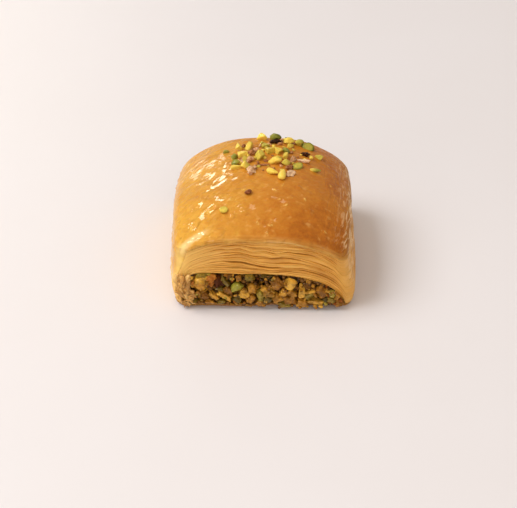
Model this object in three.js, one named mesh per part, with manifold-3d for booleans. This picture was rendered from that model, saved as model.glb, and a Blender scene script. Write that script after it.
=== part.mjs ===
// A square piece of baklava: a domed stack of filo sheets folded over a chopped nut filling that
// runs through from the cut front face to the back, with chopped pistachio scattered on its crust.
//
// Millimetres. X runs across the piece, Y from the front face to the back and Z up. The origin is
// the middle of the face that it rests on.

import * as THREE from "three";
import { mergeVertices } from "three/addons/utils/BufferGeometryUtils.js";
import Module from "manifold-3d";

const wasm = await Module();
wasm.setup();

// Plan of the piece: half its width and depth, how far its sides and front swell past straight
// lines, how much the front turns for each millimetre across, and the radii of its corners.
const HALF_WIDTH = 27.8;
const HALF_DEPTH = 26.3;
const SIDE_BOW = { left: 1.3, right: 1.6 };
const FRONT_SKEW = 0.02;
const FRONT_BOW = 0.4;
const CORNERS = { frontRight: 3.5, backRight: 5, backLeft: 5, frontLeft: 4.5 };

// Heights of the crust: its crown, and how far it falls to the middle of each face and from there
// to the left and the right end of that face.
const CROWN_HEIGHT = 31.8;
const FALL = {
  front: { middle: 6.4, left: 5.0, right: 8.2 },
  back: { middle: 3.9, left: 10.0, right: 10.0 },
};
const FALL_POWER = { along: 2.4, across: 2.5 };

// How far each wall leans in by the time that it reaches the crust.
const LEAN = {
  front: { left: 1.1, right: 3.3, along: 0.9 },
  back: { left: 1.4, right: 1.2, along: 1.2 },
};
const LEAN_POWER = 1.3;

// How far the walls curve in below, from what height, and how much more the foot itself does.
const TUCK = { depth: 1.2, height: 7.5, foot: 0.7 };

// The crust's rolled edge: its radius, wider where it wraps over the left front corner, and the
// thickness of the skin that shows below it.
const EDGE_RADIUS = { plain: 1.2, left: 3.0 };
const SKIN_THICKNESS = 0.45;
const SKIN_OVERHANG = 0.1;

// The sheets that show between the filling and the crust, drawn as ridges with grooves between.
const RIDGES = 10;
const GROOVE_DEPTH = { face: 0.75, side: 0.4, leftCorner: 0.15 };
const RIDGE_WANDER = 0.3;
const SHEET_WAVE = 0.2;
const BOTTOM_SHEET = 1.2;
const FOLD_START = 2.2;

// The space that the filling lies in: a low vault, full to the left and falling away to the right.
const VAULT = {
  height: 12.6,
  left: { end: 25.6, slope: -0.02, power: 14, round: 0.6 },
  right: { end: 24.9, slope: 0.07, power: 4, round: 0.6 },
};
const VAULT_STEPS = 11;
const CLEARANCE = 0.3;

// The filling: a core that stops short of both faces, and nut pieces from wall to wall on each.
const CORE_RECESS = 1.8;
const CORE_SHRINK = 0.6;
const NUT_COLUMNS = 13;
const NUT_ROWS = 3;
const NUT_SIZE = { least: 2.1, most: 3.3 };
const NUT_PROUD = { front: 0.6, back: 0.9 };

// Chopped nuts on the crust. The large pieces lie where a cook dropped them: each is x, y, then
// half its length, width and height, and its heading in turns. Small ones are scattered among them.
const LARGE_NUTS = [
  [-0.5, 22.6, 1.7, 1.1, 1.2, 0.04],
  [4.0, 20.3, 1.6, 1.2, 1.0, 0.9],
  [8.3, 20.3, 1.6, 1.0, 0.8, 0.06],
  [14.2, 19.0, 2.0, 1.6, 1.0, 0.95],
  [-7.7, 15.2, 1.0, 0.9, 1.4, 0.3],
  [-4.6, 14.3, 1.7, 0.9, 1.1, 0.15],
  [1.7, 11.7, 1.5, 1.1, 1.0, 0.1],
  [4.3, 11.7, 1.3, 1.2, 1.0, 0.4],
  [-6.8, 9.5, 1.7, 1.1, 1.0, 0.03],
  [-1.4, 8.5, 1.4, 1.2, 1.5, 0.2],
  [3.3, 5.4, 1.6, 1.2, 0.9, 0.0],
  [-8.6, 4.2, 1.5, 1.0, 0.8, 0.08],
  [10.5, 4.4, 1.6, 1.3, 0.9, 0.1],
  [16.1, 4.5, 1.5, 0.8, 0.7, 0.98],
  [2.5, -0.2, 1.5, 1.3, 1.1, 0.9],
  [5.6, -1.6, 2.0, 1.3, 1.2, 0.25],
  [-3.3, -0.5, 1.6, 1.5, 0.5, 0.1],
  [-4.7, -10.0, 1.2, 1.0, 0.6, 0.1],
  [-12.0, -16.0, 1.4, 1.3, 0.6, 0.3],
];
const SCATTER = { x: 1.6, y: 9.6, spreadX: 10.6, spreadY: 7.6, pieces: 18, least: 0.85, most: 1.25 };

// Crumpled strands of filo where the folded sheets end at the left of the front face.
const STRANDS = {
  pieces: 8,
  from: new THREE.Vector3(-26.2, -24.9, 6.4),
  to: new THREE.Vector3(-22.2, -26.5, 3.4),
  length: 5.2,
  width: 1.4,
  thickness: 0.6,
};

// Mesh fineness.
const COLUMNS = 96;
const EDGE_STEPS = [0, 0.12, 0.42, 1];
const DOME_RINGS = [0.93, 0.84, 0.73, 0.6, 0.46, 0.31, 0.15];

const TURN = Math.PI * 2;
const UP = new THREE.Vector3(0, 0, 1);

const COLOURS = {
  pastry: new THREE.MeshStandardMaterial({ color: 0xd08a2c, roughness: 0.35, metalness: 0 }),
  filling: new THREE.MeshStandardMaterial({ color: 0x94682a, roughness: 0.6, metalness: 0 }),
};

function seededRandom(seed) {
  let state = seed;
  return () => {
    state = (state * 1664525 + 1013904223) % 4294967296;
    return state / 4294967296;
  };
}

function between(random, low, high) {
  return low + (high - low) * random();
}

// A smooth wander round the piece, from about -1 to 1, that closes on itself; each key has its own.
function wander(t, key) {
  const slow = Math.sin(TURN * (2 * t + 0.37 * key));
  const middling = Math.sin(TURN * (5 * t + 0.61 * key));
  const quick = Math.sin(TURN * (11 * t + 0.17 * key));
  return 0.5 * slow + 0.3 * middling + 0.2 * quick;
}

function smooth(value) {
  const v = Math.min(Math.max(value, 0), 1);
  return v * v * (3 - 2 * v);
}

// The outline of the piece from above, anticlockwise from the middle of the front face.
function planOutline() {
  const { frontRight, backRight, backLeft, frontLeft } = CORNERS;
  const path = new THREE.Path();
  const quarter = Math.PI / 2;
  path.moveTo(0, -HALF_DEPTH);
  path.lineTo(HALF_WIDTH - frontRight, -HALF_DEPTH);
  path.absarc(HALF_WIDTH - frontRight, -HALF_DEPTH + frontRight, frontRight, -quarter, 0);
  path.lineTo(HALF_WIDTH, HALF_DEPTH - backRight);
  path.absarc(HALF_WIDTH - backRight, HALF_DEPTH - backRight, backRight, 0, quarter);
  path.lineTo(-HALF_WIDTH + backLeft, HALF_DEPTH);
  path.absarc(-HALF_WIDTH + backLeft, HALF_DEPTH - backLeft, backLeft, quarter, 2 * quarter);
  path.lineTo(-HALF_WIDTH, -HALF_DEPTH + frontLeft);
  path.absarc(-HALF_WIDTH + frontLeft, -HALF_DEPTH + frontLeft, frontLeft, 2 * quarter, 3 * quarter);
  path.lineTo(0, -HALF_DEPTH);
  return path.getSpacedPoints(COLUMNS).slice(0, COLUMNS);
}

// How far the front face stands forward of its plane, as the knife left it.
function frontForward(x) {
  const u = x / HALF_WIDTH;
  return FRONT_SKEW * x + FRONT_BOW * (1 - u * u);
}

// Swells the sides of the plan and its front face.
function swell(point) {
  const w = point.y / HALF_DEPTH;
  const bow = point.x > 0 ? SIDE_BOW.right : SIDE_BOW.left;
  const x = point.x * (1 + (bow / HALF_WIDTH) * (1 - w * w));
  const y = point.y - frontForward(point.x) * Math.max(0, -w);
  return new THREE.Vector2(x, y);
}

// How far the wall on one side leans in, which changes from the front face to the back.
function sideLean(x, y) {
  const side = x > 0 ? "right" : "left";
  return THREE.MathUtils.lerp(LEAN.front[side], LEAN.back[side], smooth(0.5 + 0.5 * (y / HALF_DEPTH)));
}

// Moves a plan point in towards the middle by how far the walls lean at a share of their height.
function leanIn(point, share) {
  const amount = Math.pow(smooth(share), LEAN_POWER);
  const along = (point.y > 0 ? LEAN.back : LEAN.front).along;
  return new THREE.Vector2(
    point.x * (1 - (sideLean(point.x, point.y) * amount) / HALF_WIDTH),
    point.y * (1 - (along * amount) / HALF_DEPTH),
  );
}

// The height of the crust over a point of the plan.
function domeHeight(x, y) {
  const w = y / HALF_DEPTH;
  const u = x / (HALF_WIDTH - sideLean(x, y));
  const middle = w < 0 ? FALL.front.middle : FALL.back.middle;
  const side = x > 0 ? "right" : "left";
  const toBack = smooth((w + 1) / 2);
  const across = THREE.MathUtils.lerp(FALL.front[side], FALL.back[side], toBack);
  const fallAlong = middle * Math.pow(Math.abs(w), FALL_POWER.along);
  const fallAcross = across * Math.pow(Math.abs(u), FALL_POWER.across);
  return CROWN_HEIGHT - fallAlong - fallAcross;
}

// The height of the vault over the filling, across the piece.
function vaultHeight(x) {
  const side = x > 0 ? VAULT.right : VAULT.left;
  const reach = Math.min(Math.abs(x) / side.end, 1);
  const crown = VAULT.height - side.slope * Math.abs(x) - BOTTOM_SHEET;
  return BOTTOM_SHEET + crown * Math.pow(1 - Math.pow(reach, side.power), side.round);
}

// How far the wall is drawn in at a height above the foot.
function tuckIn(z) {
  const share = Math.max(0, 1 - z / TUCK.height);
  return TUCK.depth * share * share;
}

// The depth of the grooves between sheets: deep on the cut faces, slight where they fold round.
function grooveDepth(place) {
  const face = smooth(2 * Math.abs(place.outwards.y) - 0.5);
  const depth = THREE.MathUtils.lerp(GROOVE_DEPTH.side, GROOVE_DEPTH.face, face);
  const corner = smooth((-place.point.x - place.point.y) / HALF_WIDTH - 0.7);
  return THREE.MathUtils.lerp(depth, GROOVE_DEPTH.leftCorner, corner);
}

function edgeRadius(point) {
  const left = smooth((-point.x / HALF_WIDTH - 0.55) / 0.4);
  return THREE.MathUtils.lerp(EDGE_RADIUS.plain, EDGE_RADIUS.left, left);
}

// The rows of the pastry's surface from the crown to the middle of its foot. Each is a function
// of the place round the outline: t from 0 to 1, the plan point there and its outward direction.
function pastryRows() {
  const rows = [];
  const topEdge = (place) => leanIn(place.point, 1);
  const outward = (place) => new THREE.Vector2(place.outwards.x, place.outwards.y);
  const moved = (place, point, outwards, z) =>
    new THREE.Vector3(point.x, point.y, z).addScaledVector(place.outwards, outwards);
  const crustEdge = (place) => {
    const edge = topEdge(place);
    return domeHeight(edge.x, edge.y) - edgeRadius(edge);
  };

  rows.push(() => new THREE.Vector3(0, 0, CROWN_HEIGHT));
  for (const scale of [...DOME_RINGS].reverse()) {
    rows.push((place) => {
      const edge = topEdge(place);
      const shoulder = edge.clone().addScaledVector(outward(place), -edgeRadius(edge));
      const inner = shoulder.multiplyScalar(scale);
      return new THREE.Vector3(inner.x, inner.y, domeHeight(inner.x, inner.y));
    });
  }
  for (const step of [...EDGE_STEPS].reverse()) {
    rows.push((place) => {
      const edge = topEdge(place);
      const radius = edgeRadius(edge);
      const drop = radius * (1 - Math.sqrt(1 - (1 - step) * (1 - step)));
      const at = moved(place, edge, SKIN_OVERHANG * (1 - step) - radius * step, 0);
      at.z = domeHeight(at.x, at.y) - drop;
      return at;
    });
  }
  rows.push((place) => moved(place, topEdge(place), SKIN_OVERHANG, crustEdge(place) - SKIN_THICKNESS));

  for (let line = 2 * RIDGES; line >= 0; line -= 1) {
    const share = line / (2 * RIDGES);
    const ridge = line % 2 === 1;
    rows.push((place) => {
      const start = Math.max(vaultHeight(place.point.x), FOLD_START);
      const end = crustEdge(place) - SKIN_THICKNESS;
      const wave = share * (1 - share) * 4 * SHEET_WAVE * wander(place.t, line);
      const z = start + share * (end - start) + wave;
      const lift = (z - FOLD_START) / (end - FOLD_START);
      const depth = grooveDepth(place);
      const inwards = ridge ? RIDGE_WANDER * depth * (1 + wander(place.t, line + 7)) : depth;
      return moved(place, leanIn(place.point, lift), -inwards - tuckIn(z), z);
    });
  }
  for (const z of [BOTTOM_SHEET, BOTTOM_SHEET / 2]) {
    rows.push((place) => moved(place, place.point, -tuckIn(z), z));
  }
  rows.push((place) => moved(place, place.point, -TUCK.depth - TUCK.foot, 0));
  rows.push(() => new THREE.Vector3(0, 0, 0));
  return rows;
}

// Wraps a sphere's rows and columns onto the pastry's rows, which keeps it closed all round.
function pastryGeometry() {
  const plan = planOutline().map(swell);
  const places = plan.map((point, i) => {
    const before = plan[(i + COLUMNS - 1) % COLUMNS];
    const after = plan[(i + 1) % COLUMNS];
    const along = new THREE.Vector3(after.x - before.x, after.y - before.y, 0).normalize();
    return { t: i / COLUMNS, point, outwards: along.cross(UP) };
  });
  const rows = pastryRows();
  const geometry = new THREE.SphereGeometry(1, COLUMNS, rows.length - 1);
  const position = geometry.attributes.position;
  for (let i = 0; i < position.count; i += 1) {
    const row = Math.floor(i / (COLUMNS + 1));
    const place = places[(i % (COLUMNS + 1)) % COLUMNS];
    position.setXYZ(i, ...rows[row](place).toArray());
  }
  return geometry;
}

// The vault's outline, drawn in by a gap all round, as a bar along Y of a given half length.
function vaultBar(gap, halfLength) {
  const floor = BOTTOM_SHEET + gap;
  const outline = new THREE.Shape();
  outline.moveTo(-VAULT.left.end + gap, floor);
  outline.lineTo(VAULT.right.end - gap, floor);
  for (let i = VAULT_STEPS - 1; i > -VAULT_STEPS; i -= 1) {
    const end = i > 0 ? VAULT.right.end : VAULT.left.end;
    const x = (end - gap) * Math.sin((Math.PI / 2) * (i / VAULT_STEPS));
    const z = vaultHeight(x * (end / (end - gap))) - gap;
    if (z > floor + gap) {
      outline.lineTo(x, z);
    }
  }
  const bar = new THREE.ExtrudeGeometry(outline, { depth: 2 * halfLength, bevelEnabled: false });
  return bar.rotateX(Math.PI / 2).translate(0, halfLength, 0);
}

// One chopped piece: an icosahedron with its corners pulled about, stretched, turned and placed.
function chopped(random, size, at, turn) {
  const geometry = bare(new THREE.IcosahedronGeometry(1, 0));
  const position = geometry.attributes.position;
  for (let i = 0; i < position.count; i += 1) {
    const pull = between(random, 0.8, 1.15);
    position.setXYZ(i, position.getX(i) * pull, position.getY(i) * pull, position.getZ(i) * pull);
  }
  geometry.scale(size.x, size.y, size.z);
  geometry.applyQuaternion(new THREE.Quaternion().setFromEuler(turn));
  return geometry.translate(at.x, at.y, at.z);
}

function bare(geometry) {
  geometry.deleteAttribute("normal");
  geometry.deleteAttribute("uv");
  return mergeVertices(geometry, 1e-4);
}

function solid(geometry) {
  const merged = geometry.attributes.normal ? bare(geometry) : geometry;
  const mesh = new wasm.Mesh({
    numProp: 3,
    vertProperties: Float32Array.from(merged.attributes.position.array),
    triVerts: Uint32Array.from(merged.index.array),
  });
  return new wasm.Manifold(mesh);
}

function joined(solids) {
  return solids.reduce((whole, next) => whole.add(next));
}

function largest(whole) {
  const pieces = whole.decompose();
  return pieces.reduce((best, next) => (next.volume() > best.volume() ? next : best));
}

function crustNuts() {
  const random = seededRandom(4127);
  const nuts = [];
  const lay = (x, y, size, heading) => {
    const at = new THREE.Vector3(x, y, domeHeight(x, y) + 0.5 * size.z);
    nuts.push(solid(chopped(random, size, at, new THREE.Euler(0, 0, TURN * heading))));
  };
  for (const [x, y, length, width, height, heading] of LARGE_NUTS) {
    lay(x, y, new THREE.Vector3(length, width, height), heading);
  }
  for (let i = 0; i < SCATTER.pieces; i += 1) {
    const reach = Math.sqrt((i + 0.5) / SCATTER.pieces);
    const angle = TURN * (0.618 * i + 0.05 * random());
    const length = between(random, SCATTER.least, SCATTER.most);
    const size = new THREE.Vector3(length * 1.25, length * 0.85, length * 0.8);
    const x = SCATTER.x + SCATTER.spreadX * reach * Math.cos(angle);
    const y = SCATTER.y + SCATTER.spreadY * reach * Math.sin(angle);
    lay(x, y, size, random());
  }
  return nuts;
}

// The crumpled strands, each a flat strip; the margin makes room round them in the filling.
function strands(margin) {
  const random = seededRandom(911);
  const strips = [];
  for (let i = 0; i < STRANDS.pieces; i += 1) {
    const share = i / (STRANDS.pieces - 1);
    const strip = new THREE.BoxGeometry(
      STRANDS.width + 2 * margin,
      STRANDS.thickness + 2 * margin,
      STRANDS.length * between(random, 0.7, 1.1) + 2 * margin,
    );
    const tilt = new THREE.Euler(between(random, -0.4, 0.4), between(random, 0.1, 0.9), share - 0.5);
    strip.applyQuaternion(new THREE.Quaternion().setFromEuler(tilt));
    const at = STRANDS.from.clone().lerp(STRANDS.to, share);
    strip.translate(at.x, at.y, at.z);
    strips.push(solid(strip));
  }
  return joined(strips);
}

// The nut pieces of one face of the filling: side is -1 at the front and 1 at the back.
function faceNuts(side, seed) {
  const random = seededRandom(seed);
  const nuts = [];
  for (let column = 0; column < NUT_COLUMNS; column += 1) {
    for (let row = 0; row < NUT_ROWS; row += 1) {
      const across = (column + 0.5 * (row % 2) + between(random, 0.15, 0.85)) / (NUT_COLUMNS + 0.5);
      const x = THREE.MathUtils.lerp(-VAULT.left.end, VAULT.right.end, across) * 0.97;
      const room = vaultHeight(x) - BOTTOM_SHEET;
      const z = BOTTOM_SHEET + room * ((row + between(random, 0.2, 0.8)) / NUT_ROWS);
      const length = between(random, NUT_SIZE.least, NUT_SIZE.most);
      const size = new THREE.Vector3(length, length * 0.75, length * between(random, 0.5, 0.8));
      const reach = side < 0 ? NUT_PROUD.front + frontForward(x) : NUT_PROUD.back;
      const y = side * (HALF_DEPTH + reach - size.y - between(random, 0, 0.9));
      const turn = new THREE.Euler(0, TURN * random(), TURN * between(random, -0.06, 0.06));
      nuts.push(solid(chopped(random, size, new THREE.Vector3(x, y, z), turn)));
    }
  }
  return nuts;
}

function pastrySolid() {
  const body = solid(pastryGeometry()).subtract(solid(vaultBar(0, 2 * HALF_DEPTH)));
  return largest(joined([body, strands(0), ...crustNuts()]));
}

function fillingSolid() {
  const core = solid(vaultBar(CORE_SHRINK, HALF_DEPTH - CORE_RECESS));
  const mixed = joined([core, ...faceNuts(-1, 3001), ...faceNuts(1, 7002)]);
  const room = solid(vaultBar(CLEARANCE, 2 * HALF_DEPTH));
  return largest(mixed.intersect(room).subtract(strands(CLEARANCE)));
}

function named(name, manifold) {
  const mesh = manifold.getMesh();
  const geometry = new THREE.BufferGeometry();
  geometry.setAttribute("position", new THREE.BufferAttribute(mesh.vertProperties, mesh.numProp));
  geometry.setIndex(new THREE.BufferAttribute(mesh.triVerts, 1));
  geometry.computeVertexNormals();
  const piece = new THREE.Mesh(geometry, COLOURS[name]);
  piece.name = name;
  return piece;
}

const baklava = new THREE.Group();
baklava.name = "baklava_piece";
baklava.add(named("pastry", pastrySolid()));
baklava.add(named("filling", fillingSolid()));

export default baklava;
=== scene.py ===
"""A square piece of baklava: glazed crust, filo sheets, chopped nut filling and chopped pistachio.

Sizes are millimetres in the part's own frame: X right, Y to the back, Z up, with the origin in the
middle of the face that the piece rests on. Meshes are turned into metres as they are placed.
"""

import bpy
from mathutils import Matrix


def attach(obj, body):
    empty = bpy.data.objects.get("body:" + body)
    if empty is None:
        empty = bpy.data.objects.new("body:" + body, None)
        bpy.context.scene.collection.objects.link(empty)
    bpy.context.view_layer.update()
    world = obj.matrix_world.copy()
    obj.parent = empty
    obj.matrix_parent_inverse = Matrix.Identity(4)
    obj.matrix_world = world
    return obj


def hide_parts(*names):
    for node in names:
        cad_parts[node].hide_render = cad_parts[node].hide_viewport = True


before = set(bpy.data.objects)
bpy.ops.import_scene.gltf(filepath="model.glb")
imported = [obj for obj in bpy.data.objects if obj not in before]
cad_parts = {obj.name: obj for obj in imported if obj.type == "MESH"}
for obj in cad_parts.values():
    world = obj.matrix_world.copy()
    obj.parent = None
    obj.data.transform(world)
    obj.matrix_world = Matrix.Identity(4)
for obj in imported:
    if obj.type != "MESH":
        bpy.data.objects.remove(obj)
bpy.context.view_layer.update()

import logging
import math
import random
from collections.abc import Callable, Mapping, Sequence
from dataclasses import dataclass, field
from enum import Enum

import bmesh
import bpy
import numpy as np
from mathutils import Euler, Matrix, Vector, noise

MM = 0.001
TURN = 2 * math.pi
WAVES = 16
LOG = logging.getLogger("baklava")
Triple = tuple[float, float, float]


def paint(code: int) -> tuple[float, float, float, float]:
    """Turns a screen colour, 0xRRGGBB, into the linear one that shaders use.

    Args:
        code: The colour.

    Returns:
        Its red, green and blue, and an alpha of 1.
    """
    parts = [((code >> shift) & 255) / 255 for shift in (16, 8, 0)]
    linear = [p / 12.92 if p <= 0.04045 else ((p + 0.055) / 1.055) ** 2.4 for p in parts]
    return (linear[0], linear[1], linear[2], 1.0)


def smooth(value: np.ndarray) -> np.ndarray:
    """Eases a share from 0 to 1, and holds it there outside that range."""
    v = np.clip(value, 0.0, 1.0)
    return v * v * (3 - 2 * v)


def blend(first: np.ndarray, second: np.ndarray, share: np.ndarray) -> np.ndarray:
    """Goes from the first value to the second as the share goes from 0 to 1."""
    return first + (second - first) * share


def held(value: float, low: float, high: float) -> float:
    """Keeps a number between two others."""
    return min(max(value, low), high)


def ripple(turn: np.ndarray, seed: int, least: float, most: float, fall: float = 0.8) -> np.ndarray:
    """Makes a wander round the piece that closes on itself.

    Args:
        turn: Places round the piece, as shares of a turn.
        seed: Which wander it is.
        least: Its slowest wave, in waves to the turn.
        most: Its quickest wave.
        fall: How fast the quick waves get lower.

    Returns:
        The wander at each place, mostly between -1 and 1.
    """
    dice = random.Random(seed)
    total, power = np.zeros_like(turn), 0.0
    for _ in range(WAVES):
        waves = round(least * (most / least) ** dice.random())
        height = (least / waves) ** fall
        total += height * np.sin(TURN * (waves * turn + dice.random()))
        power += height * height / 2
    return total / (1.6 * math.sqrt(power))


# --------------------------------------------------------------------------------- the form


@dataclass(frozen=True)
class Outline:
    """Places round the piece: shares of a turn, plan points and outward directions."""

    turn: np.ndarray
    point: np.ndarray
    outward: np.ndarray

    def at(self, turn: np.ndarray) -> "Outline":
        """Gives the places at other shares of a turn.

        Args:
            turn: The shares.

        Returns:
            The places.
        """
        wrapped = np.mod(turn, 1.0)
        point, outward = (
            np.stack([np.interp(wrapped, self.turn, part[:, i]) for i in (0, 1)], axis=-1)
            for part in (self.point, self.outward)
        )
        return Outline(wrapped, point, outward / np.linalg.norm(outward, axis=-1, keepdims=True))


@dataclass(frozen=True)
class PieceForm:
    """The form that the crust, the sheets and the filling all follow.

    Front and back values are for the middle, left and right of the dome's fall, and for the left
    wall, the right wall and the face of the lean. The vault's are its end, slope and power.
    """

    half_width: float = 27.8
    half_depth: float = 26.3
    places: int = 2880
    bow: tuple[float, float] = (1.3, 1.4)
    front_skew: float = 0.02
    front_bow: float = 0.4
    corners: tuple[float, float, float, float] = (3.5, 5.0, 5.0, 4.5)
    crown: float = 31.8
    fall_front: Triple = (6.4, 5.0, 8.2)
    fall_back: Triple = (3.9, 10.0, 10.0)
    fall_power: tuple[float, float] = (2.4, 2.5)
    lean_front: Triple = (1.1, 2.6, 0.9)
    lean_back: Triple = (1.4, 0.9, 1.2)
    lean_power: float = 1.3
    tuck_depth: float = 1.2
    tuck_height: float = 7.5
    edge_plain: float = 1.1
    edge_left: float = 2.6
    skin: float = 0.2
    fold_foot: float = 3.6
    floor: float = 1.2
    vault_height: float = 12.6
    vault_left: Triple = (25.6, -0.02, 14.0)
    vault_right: Triple = (24.9, 0.07, 4.0)
    vault_round: float = 0.6

    def outline(self) -> Outline:
        """Draws the plan of the piece, anticlockwise from the middle of its front face.

        Returns:
            Its places, evenly spaced, with the last at the first.
        """
        wide, deep = self.half_width, self.half_depth
        path = [(0.0, -deep)]
        for start, right, back, radius in zip((-90, 0, 90, 180), (1, 1, -1, -1), (-1, 1, 1, -1), self.corners):
            x, y = right * (wide - radius), back * (deep - radius)
            for step in range(0, 91, 3):
                angle = math.radians(start + step)
                path.append((x + radius * math.cos(angle), y + radius * math.sin(angle)))
        path.append((0.0, -deep))
        plan = np.array(path)
        run = np.concatenate([[0.0], np.cumsum(np.linalg.norm(np.diff(plan, axis=0), axis=1))])
        turn = np.linspace(0.0, 1.0, self.places + 1)
        point = self.swell(np.stack([np.interp(turn * run[-1], run, plan[:, i]) for i in (0, 1)], axis=-1))
        along = np.roll(point[:-1], -8, axis=0) - np.roll(point[:-1], 8, axis=0)
        outward = np.stack([along[:, 1], -along[:, 0]], axis=-1)
        outward /= np.linalg.norm(outward, axis=-1, keepdims=True)
        return Outline(turn, point, np.concatenate([outward, outward[:1]]))

    def forward(self, x: np.ndarray) -> np.ndarray:
        """Gives how far the front face stands forward of its plane."""
        return self.front_skew * x + self.front_bow * (1 - (x / self.half_width) ** 2)

    def swell(self, point: np.ndarray) -> np.ndarray:
        """Swells the sides of the plan and its front face.

        Args:
            point: Points of the straight plan.

        Returns:
            The swollen ones.
        """
        x, y = point[:, 0], point[:, 1]
        share = y / self.half_depth
        wider = x * (1 + np.where(x > 0, self.bow[1], self.bow[0]) / self.half_width * (1 - share**2))
        return np.stack([wider, y - self.forward(x) * np.maximum(0.0, -share)], axis=-1)

    def _sided(
        self, x: np.ndarray, to_back: np.ndarray, front: Sequence[float], back: Sequence[float]
    ) -> np.ndarray:
        """Takes the left or the right value, on its way from the front to the back."""
        left, right = (blend(first, last, to_back) for first, last in zip(front[:2], back))
        return np.where(x > 0, right, left)

    def side_lean(self, x: np.ndarray, y: np.ndarray) -> np.ndarray:
        """Gives how far the nearer side wall leans in at the crust."""
        return self._sided(x, smooth(0.5 + 0.5 * y / self.half_depth), self.lean_front, self.lean_back)

    def lean_in(self, point: np.ndarray, share: np.ndarray | float) -> np.ndarray:
        """Moves plan points in by how far the walls lean at a share of their height.

        Args:
            point: The points.
            share: 0 at the foot of the wall and 1 at the crust.

        Returns:
            Where they go.
        """
        amount = smooth(share) ** self.lean_power
        x, y = point[..., 0], point[..., 1]
        along = np.where(y > 0, self.lean_back[2], self.lean_front[2])
        across = 1 - self.side_lean(x, y) * amount / self.half_width
        return np.stack([x * across, y * (1 - along * amount / self.half_depth)], axis=-1)

    def dome(self, x: np.ndarray, y: np.ndarray) -> np.ndarray:
        """Gives the height of the crust over plan points.

        Args:
            x: Where the points are across.
            y: Where they are from front to back.

        Returns:
            The heights.
        """
        w = y / self.half_depth
        u = x / (self.half_width - self.side_lean(x, y))
        middle = np.where(w < 0, self.fall_front[0], self.fall_back[0])
        across = self._sided(x, smooth((w + 1) / 2), self.fall_front[1:], self.fall_back[1:])
        drop = middle * np.abs(w) ** self.fall_power[0] + across * np.abs(u) ** self.fall_power[1]
        return self.crown - drop

    def over(self, plan: np.ndarray, below: np.ndarray | float = 0.0) -> np.ndarray:
        """Lifts plan points to the crust, or to a depth below it."""
        return np.column_stack([plan, self.dome(plan[:, 0], plan[:, 1]) - below])

    def vault(self, x: np.ndarray) -> np.ndarray:
        """Gives the height of the roof over the filling.

        Args:
            x: Places across the piece.

        Returns:
            The heights.
        """
        sides = zip(self.vault_left, self.vault_right)
        end, slope, power = (np.where(x > 0, right, left) for left, right in sides)
        reach = np.minimum(np.abs(x) / end, 1.0)
        rise = self.vault_height - slope * np.abs(x) - self.floor
        return self.floor + rise * (1 - reach**power) ** self.vault_round

    def tuck(self, z: np.ndarray) -> np.ndarray:
        """Gives how far the wall is drawn in at a height."""
        return self.tuck_depth * np.maximum(0.0, 1 - z / self.tuck_height) ** 2

    def edge_radius(self, x: np.ndarray) -> np.ndarray:
        """Gives the radius of the crust's rolled edge."""
        return blend(self.edge_plain, self.edge_left, smooth((-x / self.half_width - 0.55) / 0.4))

    def spread(self, flat: np.ndarray) -> tuple[Outline, np.ndarray]:
        """Finds where points of a flat square, 1 from its middle to its sides, go on the plan.

        Args:
            flat: The points.

        Returns:
            The place on the outline that each is in line with, and how far out towards it each is.
        """
        reach = np.maximum(np.abs(flat[:, 0]), np.abs(flat[:, 1]))
        safe = np.maximum(reach, 1e-6)
        aim = np.arctan2(flat[:, 1] / safe * self.half_depth, flat[:, 0] / safe * self.half_width)
        whole = self.outline()
        angles = np.unwrap(np.arctan2(whole.point[:, 1], whole.point[:, 0]))
        turn = np.interp(np.mod(aim - angles[0], TURN), angles - angles[0], whole.turn)
        return whole.at(turn), reach

    def crust_edge(self, place: Outline) -> np.ndarray:
        """Gives the height at which the crust's rolled edge meets the wall."""
        edge = self.lean_in(place.point, 1.0)
        return self.dome(edge[:, 0], edge[:, 1]) - self.edge_radius(edge[:, 0])

    def wall(self, place: Outline, z: np.ndarray, inwards: np.ndarray | float) -> np.ndarray:
        """Gives points on the wall.

        Args:
            place: Where they are round the piece.
            z: Their heights.
            inwards: How far in from the wall they are.

        Returns:
            One point in a row.
        """
        lift = (z - 2.2) / (self.crust_edge(place) - 2.65)
        plan = self.lean_in(place.point, lift) - place.outward * (inwards + self.tuck(z))[:, None]
        return np.column_stack([plan, z])

    def fold_share(self, place: Outline) -> np.ndarray:
        """Tells how far the crust has folded down the left wall at each place, from 0 to 1.

        Args:
            place: The places.

        Returns:
            The share at each.
        """
        x, y = place.point[:, 0], place.point[:, 1]
        progress = (-x - 23.8) / 3.8 + (self.half_depth - np.abs(y)) / 9
        return np.clip((progress - 0.1) / 1.6, 0, 1) * (x < 0)

    def crust_foot(self, place: Outline) -> np.ndarray:
        """Gives the height of the crust's lower edge, which is low only on the left.

        Args:
            place: The places.

        Returns:
            The heights.
        """
        skin = self.skin * (1 + 0.5 * ripple(place.turn, 5, 9, 150, 0.5))
        foot = self.fold_foot + 1.0 * ripple(place.turn, 8, 20, 160, 0.5)
        return blend(self.crust_edge(place) - skin, foot, self.fold_share(place))


# ---------------------------------------------------------------------------------- shaders


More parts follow.
